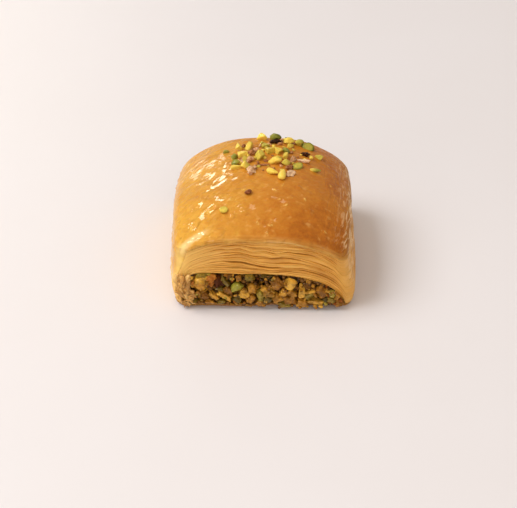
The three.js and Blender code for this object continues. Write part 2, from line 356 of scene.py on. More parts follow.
@dataclass(frozen=True)
class Signal:
    """A number that a shader works out at each point, with the arithmetic to combine it."""

    bench: "Bench"
    socket: bpy.types.NodeSocket

    def _maths(self, operation: str, first: "Signal | float", second: "Signal | float") -> "Signal":
        """Adds one Math node on two values."""
        node = self.bench.add("ShaderNodeMath", {"operation": operation}, {0: first, 1: second})
        return Signal(self.bench, node.outputs[0])

    def __add__(self, other: "Signal | float") -> "Signal":
        """Adds, from either side."""
        return self._maths("ADD", self, other)

    def __mul__(self, other: "Signal | float") -> "Signal":
        """Multiplies, from either side."""
        return self._maths("MULTIPLY", self, other)

    def __sub__(self, other: "Signal | float") -> "Signal":
        """Subtracts."""
        return self._maths("SUBTRACT", self, other)

    def __rsub__(self, other: float) -> "Signal":
        """Subtracts from a number."""
        return self._maths("SUBTRACT", other, self)

    __radd__ = __add__
    __rmul__ = __mul__

    def eased(self, low: float, high: float) -> "Signal":
        """Rises smoothly from 0 at low to 1 at high.

        Args:
            low: Where it starts to rise.
            high: Where it has risen.

        Returns:
            The eased number.
        """
        inputs = {"Value": self, "From Min": low, "From Max": high}
        node = self.bench.add("ShaderNodeMapRange", {"interpolation_type": "SMOOTHSTEP"}, inputs)
        return Signal(self.bench, node.outputs["Result"])


Link = Signal | bpy.types.NodeSocket


class Bench:
    """Builds one material, node by node, on object coordinates in millimetres."""

    def __init__(self, name: str) -> None:
        """Starts an empty material.

        Args:
            name: The material's name.
        """
        self.material = bpy.data.materials.new(name)
        self.material.use_nodes = True
        self.tree = self.material.node_tree
        self.tree.nodes.clear()
        inputs = {"Vector": self.add("ShaderNodeTexCoord", {}, {}).outputs["Object"], "Scale": 1 / MM}
        self.place = self.add("ShaderNodeVectorMath", {"operation": "SCALE"}, inputs).outputs[0]

    def add(self, kind: str, settings: Mapping[str, object], inputs: Mapping) -> bpy.types.Node:
        """Adds a node.

        Args:
            kind: The node's type.
            settings: Its properties; "stops" are a colour ramp's positions and colours.
            inputs: Values or links, by socket name or number.

        Returns:
            The node.
        """
        node = self.tree.nodes.new(kind)
        for name, value in settings.items():
            if name == "stops":
                ramp = node.color_ramp.elements
                while len(ramp) < len(value):
                    ramp.new(0.5)
                for stop, (position, code) in zip(ramp, value):
                    stop.position, stop.color = position, paint(code)
            else:
                setattr(node, name, value)
        for key, value in inputs.items():
            if isinstance(value, Signal):
                value = value.socket
            if isinstance(value, bpy.types.NodeSocket):
                self.tree.links.new(value, node.inputs[key])
            else:
                node.inputs[key].default_value = value
        return node

    def moved(self, turn: float, stretch: Triple) -> bpy.types.NodeSocket:
        """Gives the coordinates turned by degrees about Z, then stretched along each axis.

        Args:
            turn: The degrees.
            stretch: How much longer each axis gets.

        Returns:
            The coordinates.
        """
        inputs = {"Vector": self.place, "Rotation": (0.0, 0.0, math.radians(turn))}
        turned = self.add("ShaderNodeMapping", {"vector_type": "POINT"}, inputs).outputs[0]
        return self.add("ShaderNodeVectorMath", {"operation": "DIVIDE"}, {0: turned, 1: stretch}).outputs[0]

    def clouds(
        self,
        size: float,
        detail: float = 2.0,
        rough: float = 0.5,
        twist: float = 0.0,
        at: bpy.types.NodeSocket | None = None,
    ) -> Signal:
        """Makes soft noise.

        Args:
            size: How large its patches are.
            detail: How many finer octaves it has.
            rough: How strong those are.
            twist: How much it swirls.
            at: Coordinates, or the object's own.

        Returns:
            The noise, around 0.5.
        """
        inputs = {"Scale": 1 / size, "Detail": detail, "Roughness": rough, "Distortion": twist}
        node = self.add("ShaderNodeTexNoise", {}, {"Vector": at or self.place} | inputs)
        return Signal(self, node.outputs[0])

    def wrinkles(self) -> Signal:
        """Makes the fine lines that run back along the sides."""
        return self.clouds(1.0, 2.0, 0.6, 0.8, self.moved(8, (0.9, 5.0, 0.9)))

    def streaks(self, level: Signal, along: float, across: float) -> Signal:
        """Makes streaks that follow the sheets.

        Args:
            level: How high in the stack, in millimetres.
            along: How long a streak is.
            across: How thick it is.

        Returns:
            The streaks, around 0.5.
        """
        inputs = {0: self.axis(0) * (1 / along), 1: self.axis(1) * (1 / along), 2: level * (1 / across)}
        return self.clouds(1.0, 3.0, 0.6, 0.0, self.add("ShaderNodeCombineXYZ", {}, inputs).outputs[0])

    def worn(self, name: str) -> Signal:
        """Reads an attribute of the piece's own mesh."""
        return Signal(self, self.add("ShaderNodeAttribute", {"attribute_name": name}, {}).outputs["Fac"])

    def axis(self, index: int) -> Signal:
        """Gives the place along one axis, in millimetres."""
        return Signal(self, self.add("ShaderNodeSeparateXYZ", {}, {0: self.place}).outputs[index])

    def ramp(self, factor: Link, stops: Sequence[tuple[float, int]]) -> bpy.types.NodeSocket:
        """Turns a number into a colour by stops."""
        return self.add("ShaderNodeValToRGB", {"stops": stops}, {"Fac": factor}).outputs["Color"]

    def mix(self, factor: Link, first: Link | int, second: Link | int) -> bpy.types.NodeSocket:
        """Mixes two colours, each a link or a screen colour."""
        first, second = (paint(part) if isinstance(part, int) else part for part in (first, second))
        return self.add("ShaderNodeMix", {"data_type": "RGBA"}, {0: factor, 6: first, 7: second}).outputs[2]

    def bumps(self, heights: Sequence[Signal], depths: Sequence[float]) -> bpy.types.NodeSocket:
        """Stacks relief on the surface.

        Args:
            heights: Its layers, from 0 to 1.
            depths: The full height of each, in millimetres.

        Returns:
            The normal.
        """
        below: dict[str, object] = {}
        for height, depth in zip(heights, depths):
            inputs = {"Height": height, "Distance": depth * MM, "Strength": 1.0} | below
            below = {"Normal": self.add("ShaderNodeBump", {}, inputs).outputs[0]}
        return below["Normal"]

    def finish(
        self, colour: Link, rough: Link | float, inputs: Mapping[str, object], scatter: Sequence[float] = ()
    ) -> bpy.types.Material:
        """Closes the material with one Principled shader.

        Args:
            colour: Its base colour.
            rough: Its roughness.
            inputs: Its other values or links.
            scatter: How much light goes in, how far in metres, and the shares of green and blue.

        Returns:
            The material.
        """
        every = {"Base Color": colour, "Roughness": rough} | dict(inputs)
        if scatter:
            weight, depth, green, blue = scatter
            every |= {"Subsurface Weight": weight, "Subsurface Scale": depth}
            every["Subsurface Radius"] = (1.0, green, blue)
        shader = self.add("ShaderNodeBsdfPrincipled", {}, every)
        self.add("ShaderNodeOutputMaterial", {}, {"Surface": shader.outputs[0]})
        return self.material


@dataclass(frozen=True)
class GlazeFinish:
    """Baked filo under syrup: amber, mottled, wet, with fine wrinkles that catch the light.

    The relief, in millimetres, is of the waves, the swell, the fine grain, the mottle, the streaks of
    the dry edge and the wrinkles of the right side. The scatter is what a bench's finish takes.
    """

    name: str = "glaze"
    tones: tuple[tuple[float, int], ...] = ((0.0, 0xE0A53C), (0.4, 0xCB862C), (0.75, 0xB86C1A), (1.0, 0x9A5210))
    edges: tuple[tuple[float, int], ...] = ((0.38, 0xB87A30), (0.52, 0xD09A4A), (0.64, 0xE0B670))
    pale: int = 0xFFD672
    soft_spot: int = 0xF2BC68
    dry_and_glinting_shoulder: int = 0xF6CC94
    pale_ridge_highlight: int = 0xF8DAAE
    groove_shade: int = 0x945418
    lit_band: int = 0xFFE2A0
    relief: tuple[float, ...] = (0.45, 0.85, 0.17, 0.06, 0.3, 0.6)
    rough: float = 0.4
    shine: float = 0.08
    coat: float = 0.55
    coat_rough: float = 0.05
    coat_bend: float = 1.45
    scatter: tuple[float, ...] = (0.1, 0.0015, 0.4, 0.1)

    def make(self) -> bpy.types.Material:
        """Makes the material: amber with painted shade towards the right and the front right, then the dry
        edge, the lines of the right side with painted highlight and painted shade, the pale fold, a painted
        highlight band and painted glints.

        Returns:
            The material.
        """
        b = Bench(self.name)
        x, y, z, inset = b.axis(0), b.axis(1), b.axis(2), b.worn("inset")
        broad, mottle, speckle = b.clouds(10.0, 2.0), b.clouds(2.4, 3.0, 0.6), b.clouds(0.9, 2.0, 0.6)
        streak, wrinkle = b.streaks(inset, 9.0, 0.35), b.wrinkles()
        right, folded = x.eased(14.0, 25.0), 1 - x.eased(-25.0, -13.0)
        behind_edge = y.eased(-25.5, -20.0)

        # Painted shade: ahead darkens the front right of the dome, the slope turned away from the light.
        ahead = (1 - y.eased(-24.0, -4.0)) * x.eased(-17.0, 0.0)
        # Darker towards the right: partly the crust's own colour, partly painted shade of the side away from
        # the light.
        tone = 0.55 * x.eased(-24.0, 24.0) + 0.5 * (broad - 0.5) + 0.5 * (mottle - 0.5)
        tone = tone + 0.25 * (speckle - 0.5) + 0.2 * ahead + 0.14
        jitter = (4.0 + 3.0 * right) * (streak - 0.5) + 2.0 * (broad - 0.5)
        rim = 1 - (inset + jitter * (0.3 + 0.7 * right) - 0.25 - 0.1 * right).eased(-0.7, 1.7)
        colour = b.mix(rim * (1 - 0.75 * folded), b.ramp(tone, self.tones), b.ramp(streak, self.edges))
        spot = b.clouds(2.1, 1.0, 0.5, 0.0, b.moved(15, (1.0, 1.0, 1.0)))
        shoulder = x.eased(17.0, 23.0) * (1 - inset.eased(2.0, 6.5)) * behind_edge
        side = rim * x.eased(21.0, 25.5) * behind_edge
        crest = y - 0.3 * x + 0.5 * (streak - 0.5)
        # Painted highlight: band is a pale lit streak along the rolled front-left edge of the crust.
        band = crest.eased(-18.5, -17.5) * (1 - crest.eased(-16.9, -15.7)) * (1 - x.eased(-19.5, -15.0))
        for share, laid in (
            (spot.eased(0.57, 0.86) * (1 - rim) * 0.35, self.soft_spot),
            # Partly pale dry filo, partly painted glints: pale streaks on the wrinkles of the right shoulder.
            (shoulder * wrinkle.eased(0.5, 0.62) * 0.45, self.dry_and_glinting_shoulder),
            # Painted highlight and painted shade of the right side's wrinkles: pale on their ridges, dark in
            # their grooves.
            (side * wrinkle.eased(0.48, 0.6) * 0.85, self.pale_ridge_highlight),
            (side * (1 - wrinkle.eased(0.36, 0.48)) * 0.7, self.groove_shade),
            (b.worn("pale") * (0.7 + 0.9 * (mottle - 0.4)), self.pale),
            # Painted highlight band.
            (band * z.eased(17.5, 22.5) * 0.6, self.lit_band),
            # Painted glints: small pale strokes on the blisters at the ticks, in the pale colour.
            (b.worn("fleck") * speckle.eased(0.4, 0.62) * 0.75, self.pale),
        ):
            colour = b.mix(share, colour, laid)

        left = 1 - (x - 0.4 * y).eased(-11.0, 5.0)
        lively = (0.3 + 0.7 * left) * (0.22 + 0.78 * z.eased(13.0, 22.0))
        wave = b.clouds(1.0, 0.0, 0.5, 0.8, b.moved(-34, (2.5, 1.15, 1.5)))
        swell = b.clouds(1.0, 0.0, 0.5, 0.5, b.moved(-22, (3.6, 1.8, 2.0)))
        fine = b.clouds(1.0, 1.0, 0.5, 0.6, b.moved(-20, (1.3, 0.8, 1.0)))
        heights = (wave * lively, swell * lively, fine * lively, mottle, streak * rim, wrinkle * right)
        coat = self.coat - 0.4 * rim * (1 - folded) - 0.2 * right - 0.3 * y.eased(0.0, 20.0)
        inputs = {"Normal": b.bumps(heights, self.relief), "Specular IOR Level": self.shine}
        inputs |= {"Coat Weight": coat, "Coat Roughness": self.coat_rough, "Coat IOR": self.coat_bend}
        return b.finish(colour, self.rough + 0.1 * rim, inputs, self.scatter)


@dataclass(frozen=True)
class SheetFinish:
    """The cut edges of the filo sheets: tan and gold, streaked along, damp with syrup."""

    name: str = "filo_edges"
    pale: int = 0xF8C468
    gold: int = 0xE4A648
    deep: int = 0xBE7E2E
    # Painted shade: the colour of the recesses between the sheets' edges.
    gap: int = 0xA26824
    blond: float = 0.85
    pale_ridge_highlight: int = 0xF8D8A4
    groove_shade: int = 0x9C6024
    relief: tuple[float, ...] = (0.16, 0.04)
    rough: float = 0.45
    shine: float = 0.3
    coat: float = 0.2
    coat_rough: float = 0.2
    scatter: tuple[float, ...] = (0.15, 0.0012, 0.5, 0.2)

    def make(self) -> bpy.types.Material:
        """Makes the material: streaks, a blond left side, lines on the right with painted highlight and
        painted shade, and painted shade in the gaps.

        Returns:
            The material.
        """
        b = Bench(self.name)
        x, y, z = b.axis(0), b.axis(1), b.axis(2)
        streak, wrinkle = b.streaks(b.worn("level"), 6.0, 0.3), b.wrinkles()
        broad, grain = b.clouds(6.0, 2.0), b.clouds(0.5, 3.0, 0.6)
        plain = x.eased(22.5, 26.0) * (1 - y.eased(-22.0, -12.0))
        lines = (streak - 0.5) * (1 - 0.7 * plain)
        shade = 0.45 * b.worn("tone") + 0.6 * lines + 0.5 * (broad - 0.5)
        shade = shade + 0.1 * x.eased(0.0, 20.0) - 0.2 * plain + 0.25
        colour = b.ramp(shade, ((0.0, self.pale), (0.5, self.gold), (1.0, self.deep)))
        side = x.eased(24.0, 27.5) * z.eased(5.0, 14.0)
        for share, laid in (
            ((1 - x.eased(-26.0, -9.0)) * self.blond, self.pale),
            # Painted highlight and painted shade of the right wall's wrinkles: pale on their ridges, dark in
            # their grooves.
            (side * wrinkle.eased(0.48, 0.64) * 0.7, self.pale_ridge_highlight),
            (side * (1 - wrinkle.eased(0.34, 0.48)) * 0.6, self.groove_shade),
            # Painted shade in the gaps, where the edge is recessed.
            (b.worn("deep"), self.gap),
        ):
            colour = b.mix(share, colour, laid)
        inputs = {"Normal": b.bumps((lines, grain), self.relief), "Specular IOR Level": self.shine}
        inputs |= {"Coat Weight": self.coat, "Coat Roughness": self.coat_rough}
        return b.finish(colour, self.rough + 0.3 * (grain - 0.5), inputs, self.scatter)


@dataclass(frozen=True)
class NutFinish:
    """Chopped nut: flesh that varies from piece to piece, with skin on its outer faces."""

    name: str
    stops: tuple[tuple[float, int], ...]
    skin: int
    skin_share: float
    relief: float
    gloss: float
    grain: float = 0.8
    syrup: float = 0.0
    blotch: float = 1.0
    syrup_tone: int = 0x66400A
    fine_relief: float = 0.04
    rough: float = 0.4
    shine: float = 0.1
    coat_rough: float = 0.12
    scatter: tuple[float, ...] = (0.1, 0.001, 0.7, 0.3)

    def make(self) -> bpy.types.Material:
        """Makes the material: flesh, patches of skin, and syrup that has soaked in.

        Returns:
            The material.
        """
        b = Bench(self.name)
        mottle, fine = b.clouds(self.grain, 3.0, 0.6), b.clouds(0.28, 3.0, 0.6)
        patch = b.clouds(1.6, 2.0, 0.6).eased(0.42, 0.58) * self.blotch + (1 - self.blotch)
        soaked = b.clouds(3.0, 3.0, 0.6).eased(0.42, 0.64)
        colour = b.ramp(b.worn("tone") + 0.45 * (mottle - 0.5), self.stops)
        colour = b.mix(b.worn("skin") * patch * self.skin_share, colour, self.skin)
        colour = b.mix(soaked * self.syrup, colour, self.syrup_tone)
        normal = b.bumps((mottle, fine), (self.relief, self.fine_relief))
        inputs = {"Normal": normal, "Specular IOR Level": self.shine}
        inputs |= {"Coat Weight": self.gloss, "Coat Roughness": self.coat_rough}
        return b.finish(colour, self.rough + 0.3 * (fine - 0.5), inputs, self.scatter)


class Nut(Enum):
    """The kinds of nut and skin that show, and their finishes."""

    WALNUT = NutFinish(
        "walnut",
        ((0.0, 0x56340A), (0.35, 0x96601A), (0.7, 0xC4882A), (1.0, 0xE8B244)),
        0x663C0E, 0.5, 0.3, 0.4, syrup=0.66,
    )
    PISTACHIO = NutFinish(
        "pistachio",
        ((0.0, 0x3E3210), (0.35, 0x6E5A1C), (0.7, 0xA0842C), (1.0, 0xA09834)),
        0x6A4A1C, 0.5, 0.2, 0.5, syrup=0.3,
    )
    SKIN = NutFinish(
        "nut_skins",
        ((0.0, 0x2E1204), (0.4, 0x5C2C08), (0.75, 0x945018), (1.0, 0xBC7A2C)),
        0x2A1206, 0.4, 0.2, 0.08,
    )
    # Partly painted shade: the meal's colours are darkened to stand for the shade in the gaps between the
    # chunks.
    PASTE = NutFinish(
        "nut_meal_and_gap_shade",
        ((0.0, 0x2E1A08), (0.5, 0x5C3A14), (1.0, 0x946424)),
        0x3A200C, 0.3, 0.3, 0.4, grain=0.6, syrup=0.2,
    )
    TOPPING = NutFinish(
        "topping_pistachio",
        ((0.0, 0x525018), (0.25, 0x8A8A34), (0.5, 0xBEB046), (0.75, 0xE8C650), (1.0, 0xFCDC60)),
        0x5A5E1E, 0.85, 0.08, 0.25, grain=1.0, blotch=0.3,
    )
    FLAKE = NutFinish(
        "topping_skins",
        ((0.0, 0x28140A), (0.35, 0x7A3E1E), (0.7, 0xC88A54), (1.0, 0xEEC498)),
        0x8A4A30, 0.6, 0.2, 0.3, grain=0.5,
    )


# ------------------------------------------------------------------------------ mesh making


@dataclass
class Wardrobe:
    """Keeps each finish's material, so that pieces share it."""

    made: dict[str, bpy.types.Material] = field(default_factory=dict)

    def of(self, finish: GlazeFinish | SheetFinish | NutFinish) -> bpy.types.Material:
        """Gives a finish's material, made the first time.

        Args:
            finish: The finish.

        Returns:
            The material.
        """
        if finish.name not in self.made:
            self.made[finish.name] = finish.make()
        return self.made[finish.name]


def tag(mesh: bpy.types.Mesh, name: str) -> np.ndarray:
    """Takes an integer tag off a mesh's points.

    Args:
        mesh: The mesh.
        name: The tag's name.

    Returns:
        Each point's value.
    """
    values = np.zeros(len(mesh.vertices), np.int32)
    mesh.attributes[name].data.foreach_get("value", values)
    mesh.attributes.remove(mesh.attributes[name])
    return values


def points(mesh: bpy.types.Mesh) -> np.ndarray:
    """Reads a mesh's points, one in a row.

    Args:
        mesh: The mesh.

    Returns:
        The points.
    """
    flat = np.zeros(3 * len(mesh.vertices), np.float32)
    mesh.vertices.foreach_get("co", flat)
    return flat.reshape(-1, 3).astype(float)


def move(mesh: bpy.types.Mesh, where: np.ndarray) -> None:
    """Moves a mesh's points."""
    mesh.vertices.foreach_set("co", where.astype(np.float32).ravel())
    mesh.update()


def mark(mesh: bpy.types.Mesh, **marks: np.ndarray | float) -> None:
    """Writes named numbers on each point of a mesh for its shader to read.

    Args:
        mesh: The mesh.
        marks: One number for each point, or one for all, by name.
    """
    for name, values in marks.items():
        whole = np.broadcast_to(values, len(mesh.vertices)).astype(np.float32)
        mesh.attributes.new(name, "FLOAT", "POINT").data.foreach_set("value", whole)


def mesh_of(bm: bmesh.types.BMesh, name: str) -> bpy.types.Mesh:
    """Turns a bmesh into a smooth-shaded mesh, and frees it.

    Args:
        bm: The bmesh.
        name: The mesh's name.

    Returns:
        The mesh.
    """
    for face in bm.faces:
        face.smooth = True
    mesh = bpy.data.meshes.new(name)
    bm.to_mesh(mesh)
    bm.free()
    return mesh


def placed(name: str, data: bpy.types.ID | None) -> bpy.types.Object:
    """Puts an object in the scene.

    Args:
        name: The object's name.
        data: Its mesh, camera or light.

    Returns:
        The object.
    """
    thing = bpy.data.objects.new(name, data)
    bpy.context.scene.collection.objects.link(thing)
    return thing


def stand(mesh: bpy.types.Mesh, material: bpy.types.Material, node: str) -> bpy.types.Object:
    """Puts a finished mesh, in millimetres, on the part.

    Args:
        mesh: The mesh.
        material: Its material.
        node: The solid that it stands for, which is hidden.

    Returns:
        The piece.
    """
    mesh.transform(Matrix.Scale(MM, 4))
    bm = bmesh.new()
    bm.from_mesh(mesh)
    bmesh.ops.recalc_face_normals(bm, faces=bm.faces)
    bm.to_mesh(mesh)
    bm.free()
    mesh.materials.append(material)
    piece = placed(mesh.name, mesh)
    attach(piece, "root")
    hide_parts(node)
    return piece


def stacked(
    profile: Sequence[tuple[float, float]], closed: bool, columns: int, count: int, name: str
) -> bpy.types.Mesh:
    """Spins a profile a full turn about Z, and lays copies of the ring in one mesh.

    Args:
        profile: Points as distance from the axis and height.
        closed: Whether the last point joins the first.
        columns: Steps in the turn.
        count: How many copies.
        name: The mesh's name.

    Returns:
        The mesh, with the number of the profile point in its "spot" tag and of the copy in "copy".
    """
    bm = bmesh.new()
    spot, copy = bm.verts.layers.int.new("spot"), bm.verts.layers.int.new("copy")
    verts = [bm.verts.new((r, 0.0, z)) for r, z in profile]
    for i, vert in enumerate(verts):
        vert[spot] = i
    pairs = list(zip(verts, verts[1:])) + ([(verts[-1], verts[0])] if closed else [])
    geometry = verts + [bm.edges.new(pair) for pair in pairs]
    bmesh.ops.spin(
        bm, geom=geometry, cent=(0, 0, 0), axis=(0, 0, 1), dvec=(0, 0, 0), angle=TURN, steps=columns,
        use_merge=True, use_duplicate=False
    )
    if not closed:
        centre = [v for v in bm.verts if v.co.x**2 + v.co.y**2 < 1e-10]
        bmesh.ops.remove_doubles(bm, verts=centre, dist=1e-5)
    ring, bm = mesh_of(bm, "ring"), bmesh.new()
    for _ in range(count):
        bm.from_mesh(ring)
    copy, size = bm.verts.layers.int["copy"], len(ring.vertices)
    for i, vert in enumerate(bm.verts):
        vert[copy] = i // size
    bpy.data.meshes.remove(ring)
    return mesh_of(bm, name)


def slab(name: str, across: int, along: int) -> tuple[bpy.types.Mesh, np.ndarray]:
    """Makes a slab over a flat square.

    Args:
        name: The mesh's name.
        across: Its cells along X.
        along: Its cells along Y.

    Returns:
        The mesh, still without height, and which of its points are on top.
    """
    bm = bmesh.new()
    side = bm.verts.layers.int.new("side")
    bmesh.ops.create_grid(bm, x_segments=across, y_segments=along, size=1.0)
    for item in bmesh.ops.extrude_face_region(bm, geom=list(bm.faces))["geom"]:
        if isinstance(item, bmesh.types.BMVert):
            item[side] = 1
    mesh = mesh_of(bm, name)
    return mesh, tag(mesh, "side") == 1


# ---------------------------------------------------------------------------------- crust


@dataclass(frozen=True)
class Crust:
    """The baked top sheet under its glaze, which folds down over the left wall.

    The rises are of the slow swell, the middling one, the creases and the nubs of the left wall. A
    bump is its place, radius and rise, and a tick is the place of a small blister with a pale
    painted glint on it.
    """

    form: PieceForm
    cells: int = 220
    roll: int = 6
    fold: int = 14
    overhang: float = 0.02
    thickness: float = 0.3
    blisters: int = 26
    seed: int = 77
    rises: tuple[float, ...] = (0.2, 0.08, 0.08, 0.25)
    inset_full: float = 27.0
    crease_heading: float = -38.0
    flat_above: float = 16.0
    bumps: tuple[tuple[float, float, float, float], ...] = (
        (10.8, -6.0, 1.2, 0.3), (-5.9, -17.1, 1.8, 0.3), (14.0, -15.0, 1.2, 0.18)
    )
    ticks: tuple[tuple[float, float], ...] = (
        (5.6, -5.8), (3.2, -8.4), (4.7, -12.2), (7.9, -11.3), (12.3, -10.8), (6.7, -14.5), (0.7, -23.9),
        (-2.0, -20.7), (1.9, -21.5), (20.7, 0.3), (18.0, -20.6), (-10.3, -12.2), (-16.9, -15.5),
        (-21.6, -19.8), (-6.0, -8.2), (9.3, 1.7),
    )

    def build(self, wardrobe: Wardrobe) -> bpy.types.Object:
        """Builds the crust as one closed shell: a grid with a skirt that folds in under it.

        Args:
            wardrobe: The materials.

        Returns:
            The piece.
        """
        bm = bmesh.new()
        row = bm.verts.layers.int.new("row")
        bmesh.ops.create_grid(bm, x_segments=self.cells, y_segments=self.cells, size=1.0)
        rim = [edge for edge in bm.edges if edge.is_boundary]
        for step in range(1, self.roll + self.fold + 6):
            grown = bmesh.ops.extrude_edge_only(bm, edges=rim)["geom"]
            for item in grown:
                if isinstance(item, bmesh.types.BMVert):
                    item[row] = step
            rim = [item for item in grown if isinstance(item, bmesh.types.BMEdge) and item.is_boundary]
        bmesh.ops.pointmerge(bm, verts=list({vert for edge in rim for vert in edge.verts}), merge_co=(0, 0, 0))
        mesh = mesh_of(bm, "glazed_crust")
        rows = tag(mesh, "row")
        where, inset, fade, pale = self._shape(rows, points(mesh))
        move(mesh, where)
        normals = np.zeros(3 * len(mesh.vertices), np.float32)
        mesh.vertex_normals.foreach_get("vector", normals)
        relief = self._relief(where) * (rows <= self.roll + self.fold) * fade
        move(mesh, where + normals.reshape(-1, 3) * relief[:, None])
        # The painted glints are written on the mesh for the glaze to lighten.
        mark(mesh, inset=inset, pale=pale, fleck=self._painted_glints(where))
        return stand(mesh, wardrobe.of(GlazeFinish()), "pastry")

    def _painted_glints(self, where: np.ndarray) -> np.ndarray:
        """Tells where the crust's small painted glints, pale strokes on its blisters, are, from 0 to 1.

        Args:
            where: The crust's points.

        Returns:
            Each point's share.
        """
        fleck = np.zeros(len(where))
        for i, (x, y) in enumerate(self.ticks):
            heading = 1.2 + 2.4 * math.sin(7.0 * i)
            dx, dy = where[:, 0] - x, where[:, 1] - y
            along = dx * math.cos(heading) + dy * math.sin(heading)
            across = dy * math.cos(heading) - dx * math.sin(heading)
            share = smooth(1.0 - np.hypot(along / 1.3, across / 0.6))
            fleck = np.maximum(fleck, share * (where[:, 2] > self.flat_above))
        return fleck

    def _shape(self, rows: np.ndarray, flat: np.ndarray) -> tuple[np.ndarray, ...]:
        """Bends the grid and its skirts to the form.

        Args:
            rows: Which skirt each point is in, 0 for the grid.
            flat: Its place on the flat grid.

        Returns:
            Its place on the piece, how far in from the crust's edge it is, how much relief it may take,
            and how pale it stayed in the oven.
        """
        form, roll, base, thick = self.form, self.roll, self.roll + self.fold, self.thickness
        place, reach = form.spread(flat)
        edge = form.lean_in(place.point, 1.0)
        radius, top = form.edge_radius(edge[:, 0]), form.crust_edge(place)
        fold, low = form.fold_share(place), form.crust_foot(place)
        where = form.over((edge - place.outward * radius[:, None]) * reach[:, None])
        skirts = {}
        for step in range(1, roll + 1):
            phi = math.pi / 2 * step / roll
            out = self.overhang * math.sin(phi) - radius * (1 - math.sin(phi))
            skirts[step] = form.over(edge + place.outward * out[:, None], radius * (1 - math.cos(phi)))
        for step in range(1, self.fold + 1):
            skirts[roll + step] = form.wall(place, blend(top, low, step / self.fold), -self.overhang)
        skirts[base + 1] = form.wall(place, low - 0.08, thick / 2)
        skirts[base + 2] = form.wall(place, low + 0.1, thick)
        skirts[base + 3] = form.wall(place, top - 0.4, thick + 0.3)
        skirts[base + 4] = form.over(edge * 0.8, 2.2)
        skirts[base + 5] = np.tile([0.0, 0.0, form.crown - 3.0], (len(top), 1))
        for row, spots in skirts.items():
            where[rows == row] = spots[rows == row]
        rounded = 1.3 * radius
        flat_part = (1 - reach) * self.inset_full + rounded
        inset = np.where(rows > 0, rounded * np.clip(1 - rows / roll, 0, 1), flat_part)
        down = np.clip((rows - roll) / self.fold, 0, 1) + 0.08 * ripple(place.turn, 71, 9, 60, 0.6)
        whole = smooth((fold - 0.5) * 2.5)
        pale = blend(1.0, smooth((down - 0.4) / 0.6), whole) * smooth(fold * 2.5)
        near = smooth((rows + 12 * (reach - 1)) / roll) * (1 - whole) * smooth(fold * 5)
        fade = np.where(rows > roll, smooth((where[:, 2] - low) / 3), smooth((top - low) / 2 + 0.6))
        pale = 0.85 * np.where(rows > roll, pale, near)
        return where, inset + 8 * smooth(fold * 3), np.where(rows == 0, 1.0, fade), pale

    def _relief(self, where: np.ndarray) -> np.ndarray:
        """Works out how far the surface stands proud of the plain form, in millimetres.

        Args:
            where: The crust's points.

        Returns:
            The relief at each point.
        """
        dice = random.Random(self.seed)
        height = np.zeros(len(where))
        swell, middle, crease_rise, nub_rise = self.rises
        turned = Matrix.Rotation(math.radians(self.crease_heading), 3, "Z")
        for i, spot in enumerate(where):
            p = Vector(spot)
            q = turned @ p
            slow, middling = noise.noise(p / 9.0), noise.noise(p / 4.1 + Vector((7, 3, 1)))
            crease = noise.noise(Vector((q.x / 3.6, q.y / 1.3, q.z / 1.8)))
            patch = held(0.6 + 1.4 * noise.noise(p / 6.5 + Vector((1, 9, 4))), 0, 1)
            left, high = held((4 - p.x + 0.4 * p.y) / 14, 0, 1), held((p.z - 12) / 10, 0.25, 1)
            nub = noise.noise(p / 1.3) if p.x < -25.5 and p.z < 21 else 0.0
            height[i] = swell * slow + middle * middling
            height[i] += crease_rise * crease * (0.08 + 0.92 * left * patch) * high
            height[i] += nub_rise * held(4 * nub - 1.2, 0.0, 1.0)
        spots = list(self.bumps)
        for x, y in self.ticks:
            spots += [(x, y, 0.75, 0.22), (x + 0.5, y + 0.7, 0.6, 0.17)]
        ranges = ((-23, 23), (-22, 22), (0.5, 1.3), (0.06, 0.2))
        spots += [tuple(dice.uniform(*ends) for ends in ranges) for _ in range(self.blisters)]
        for x, y, radius, rise in spots:
            away = np.hypot(where[:, 0] - x, where[:, 1] - y) / radius
            height += rise * smooth(1 - away) * (where[:, 2] > self.flat_above)
        return height


# ------------------------------------------------------------------------------ the sheets


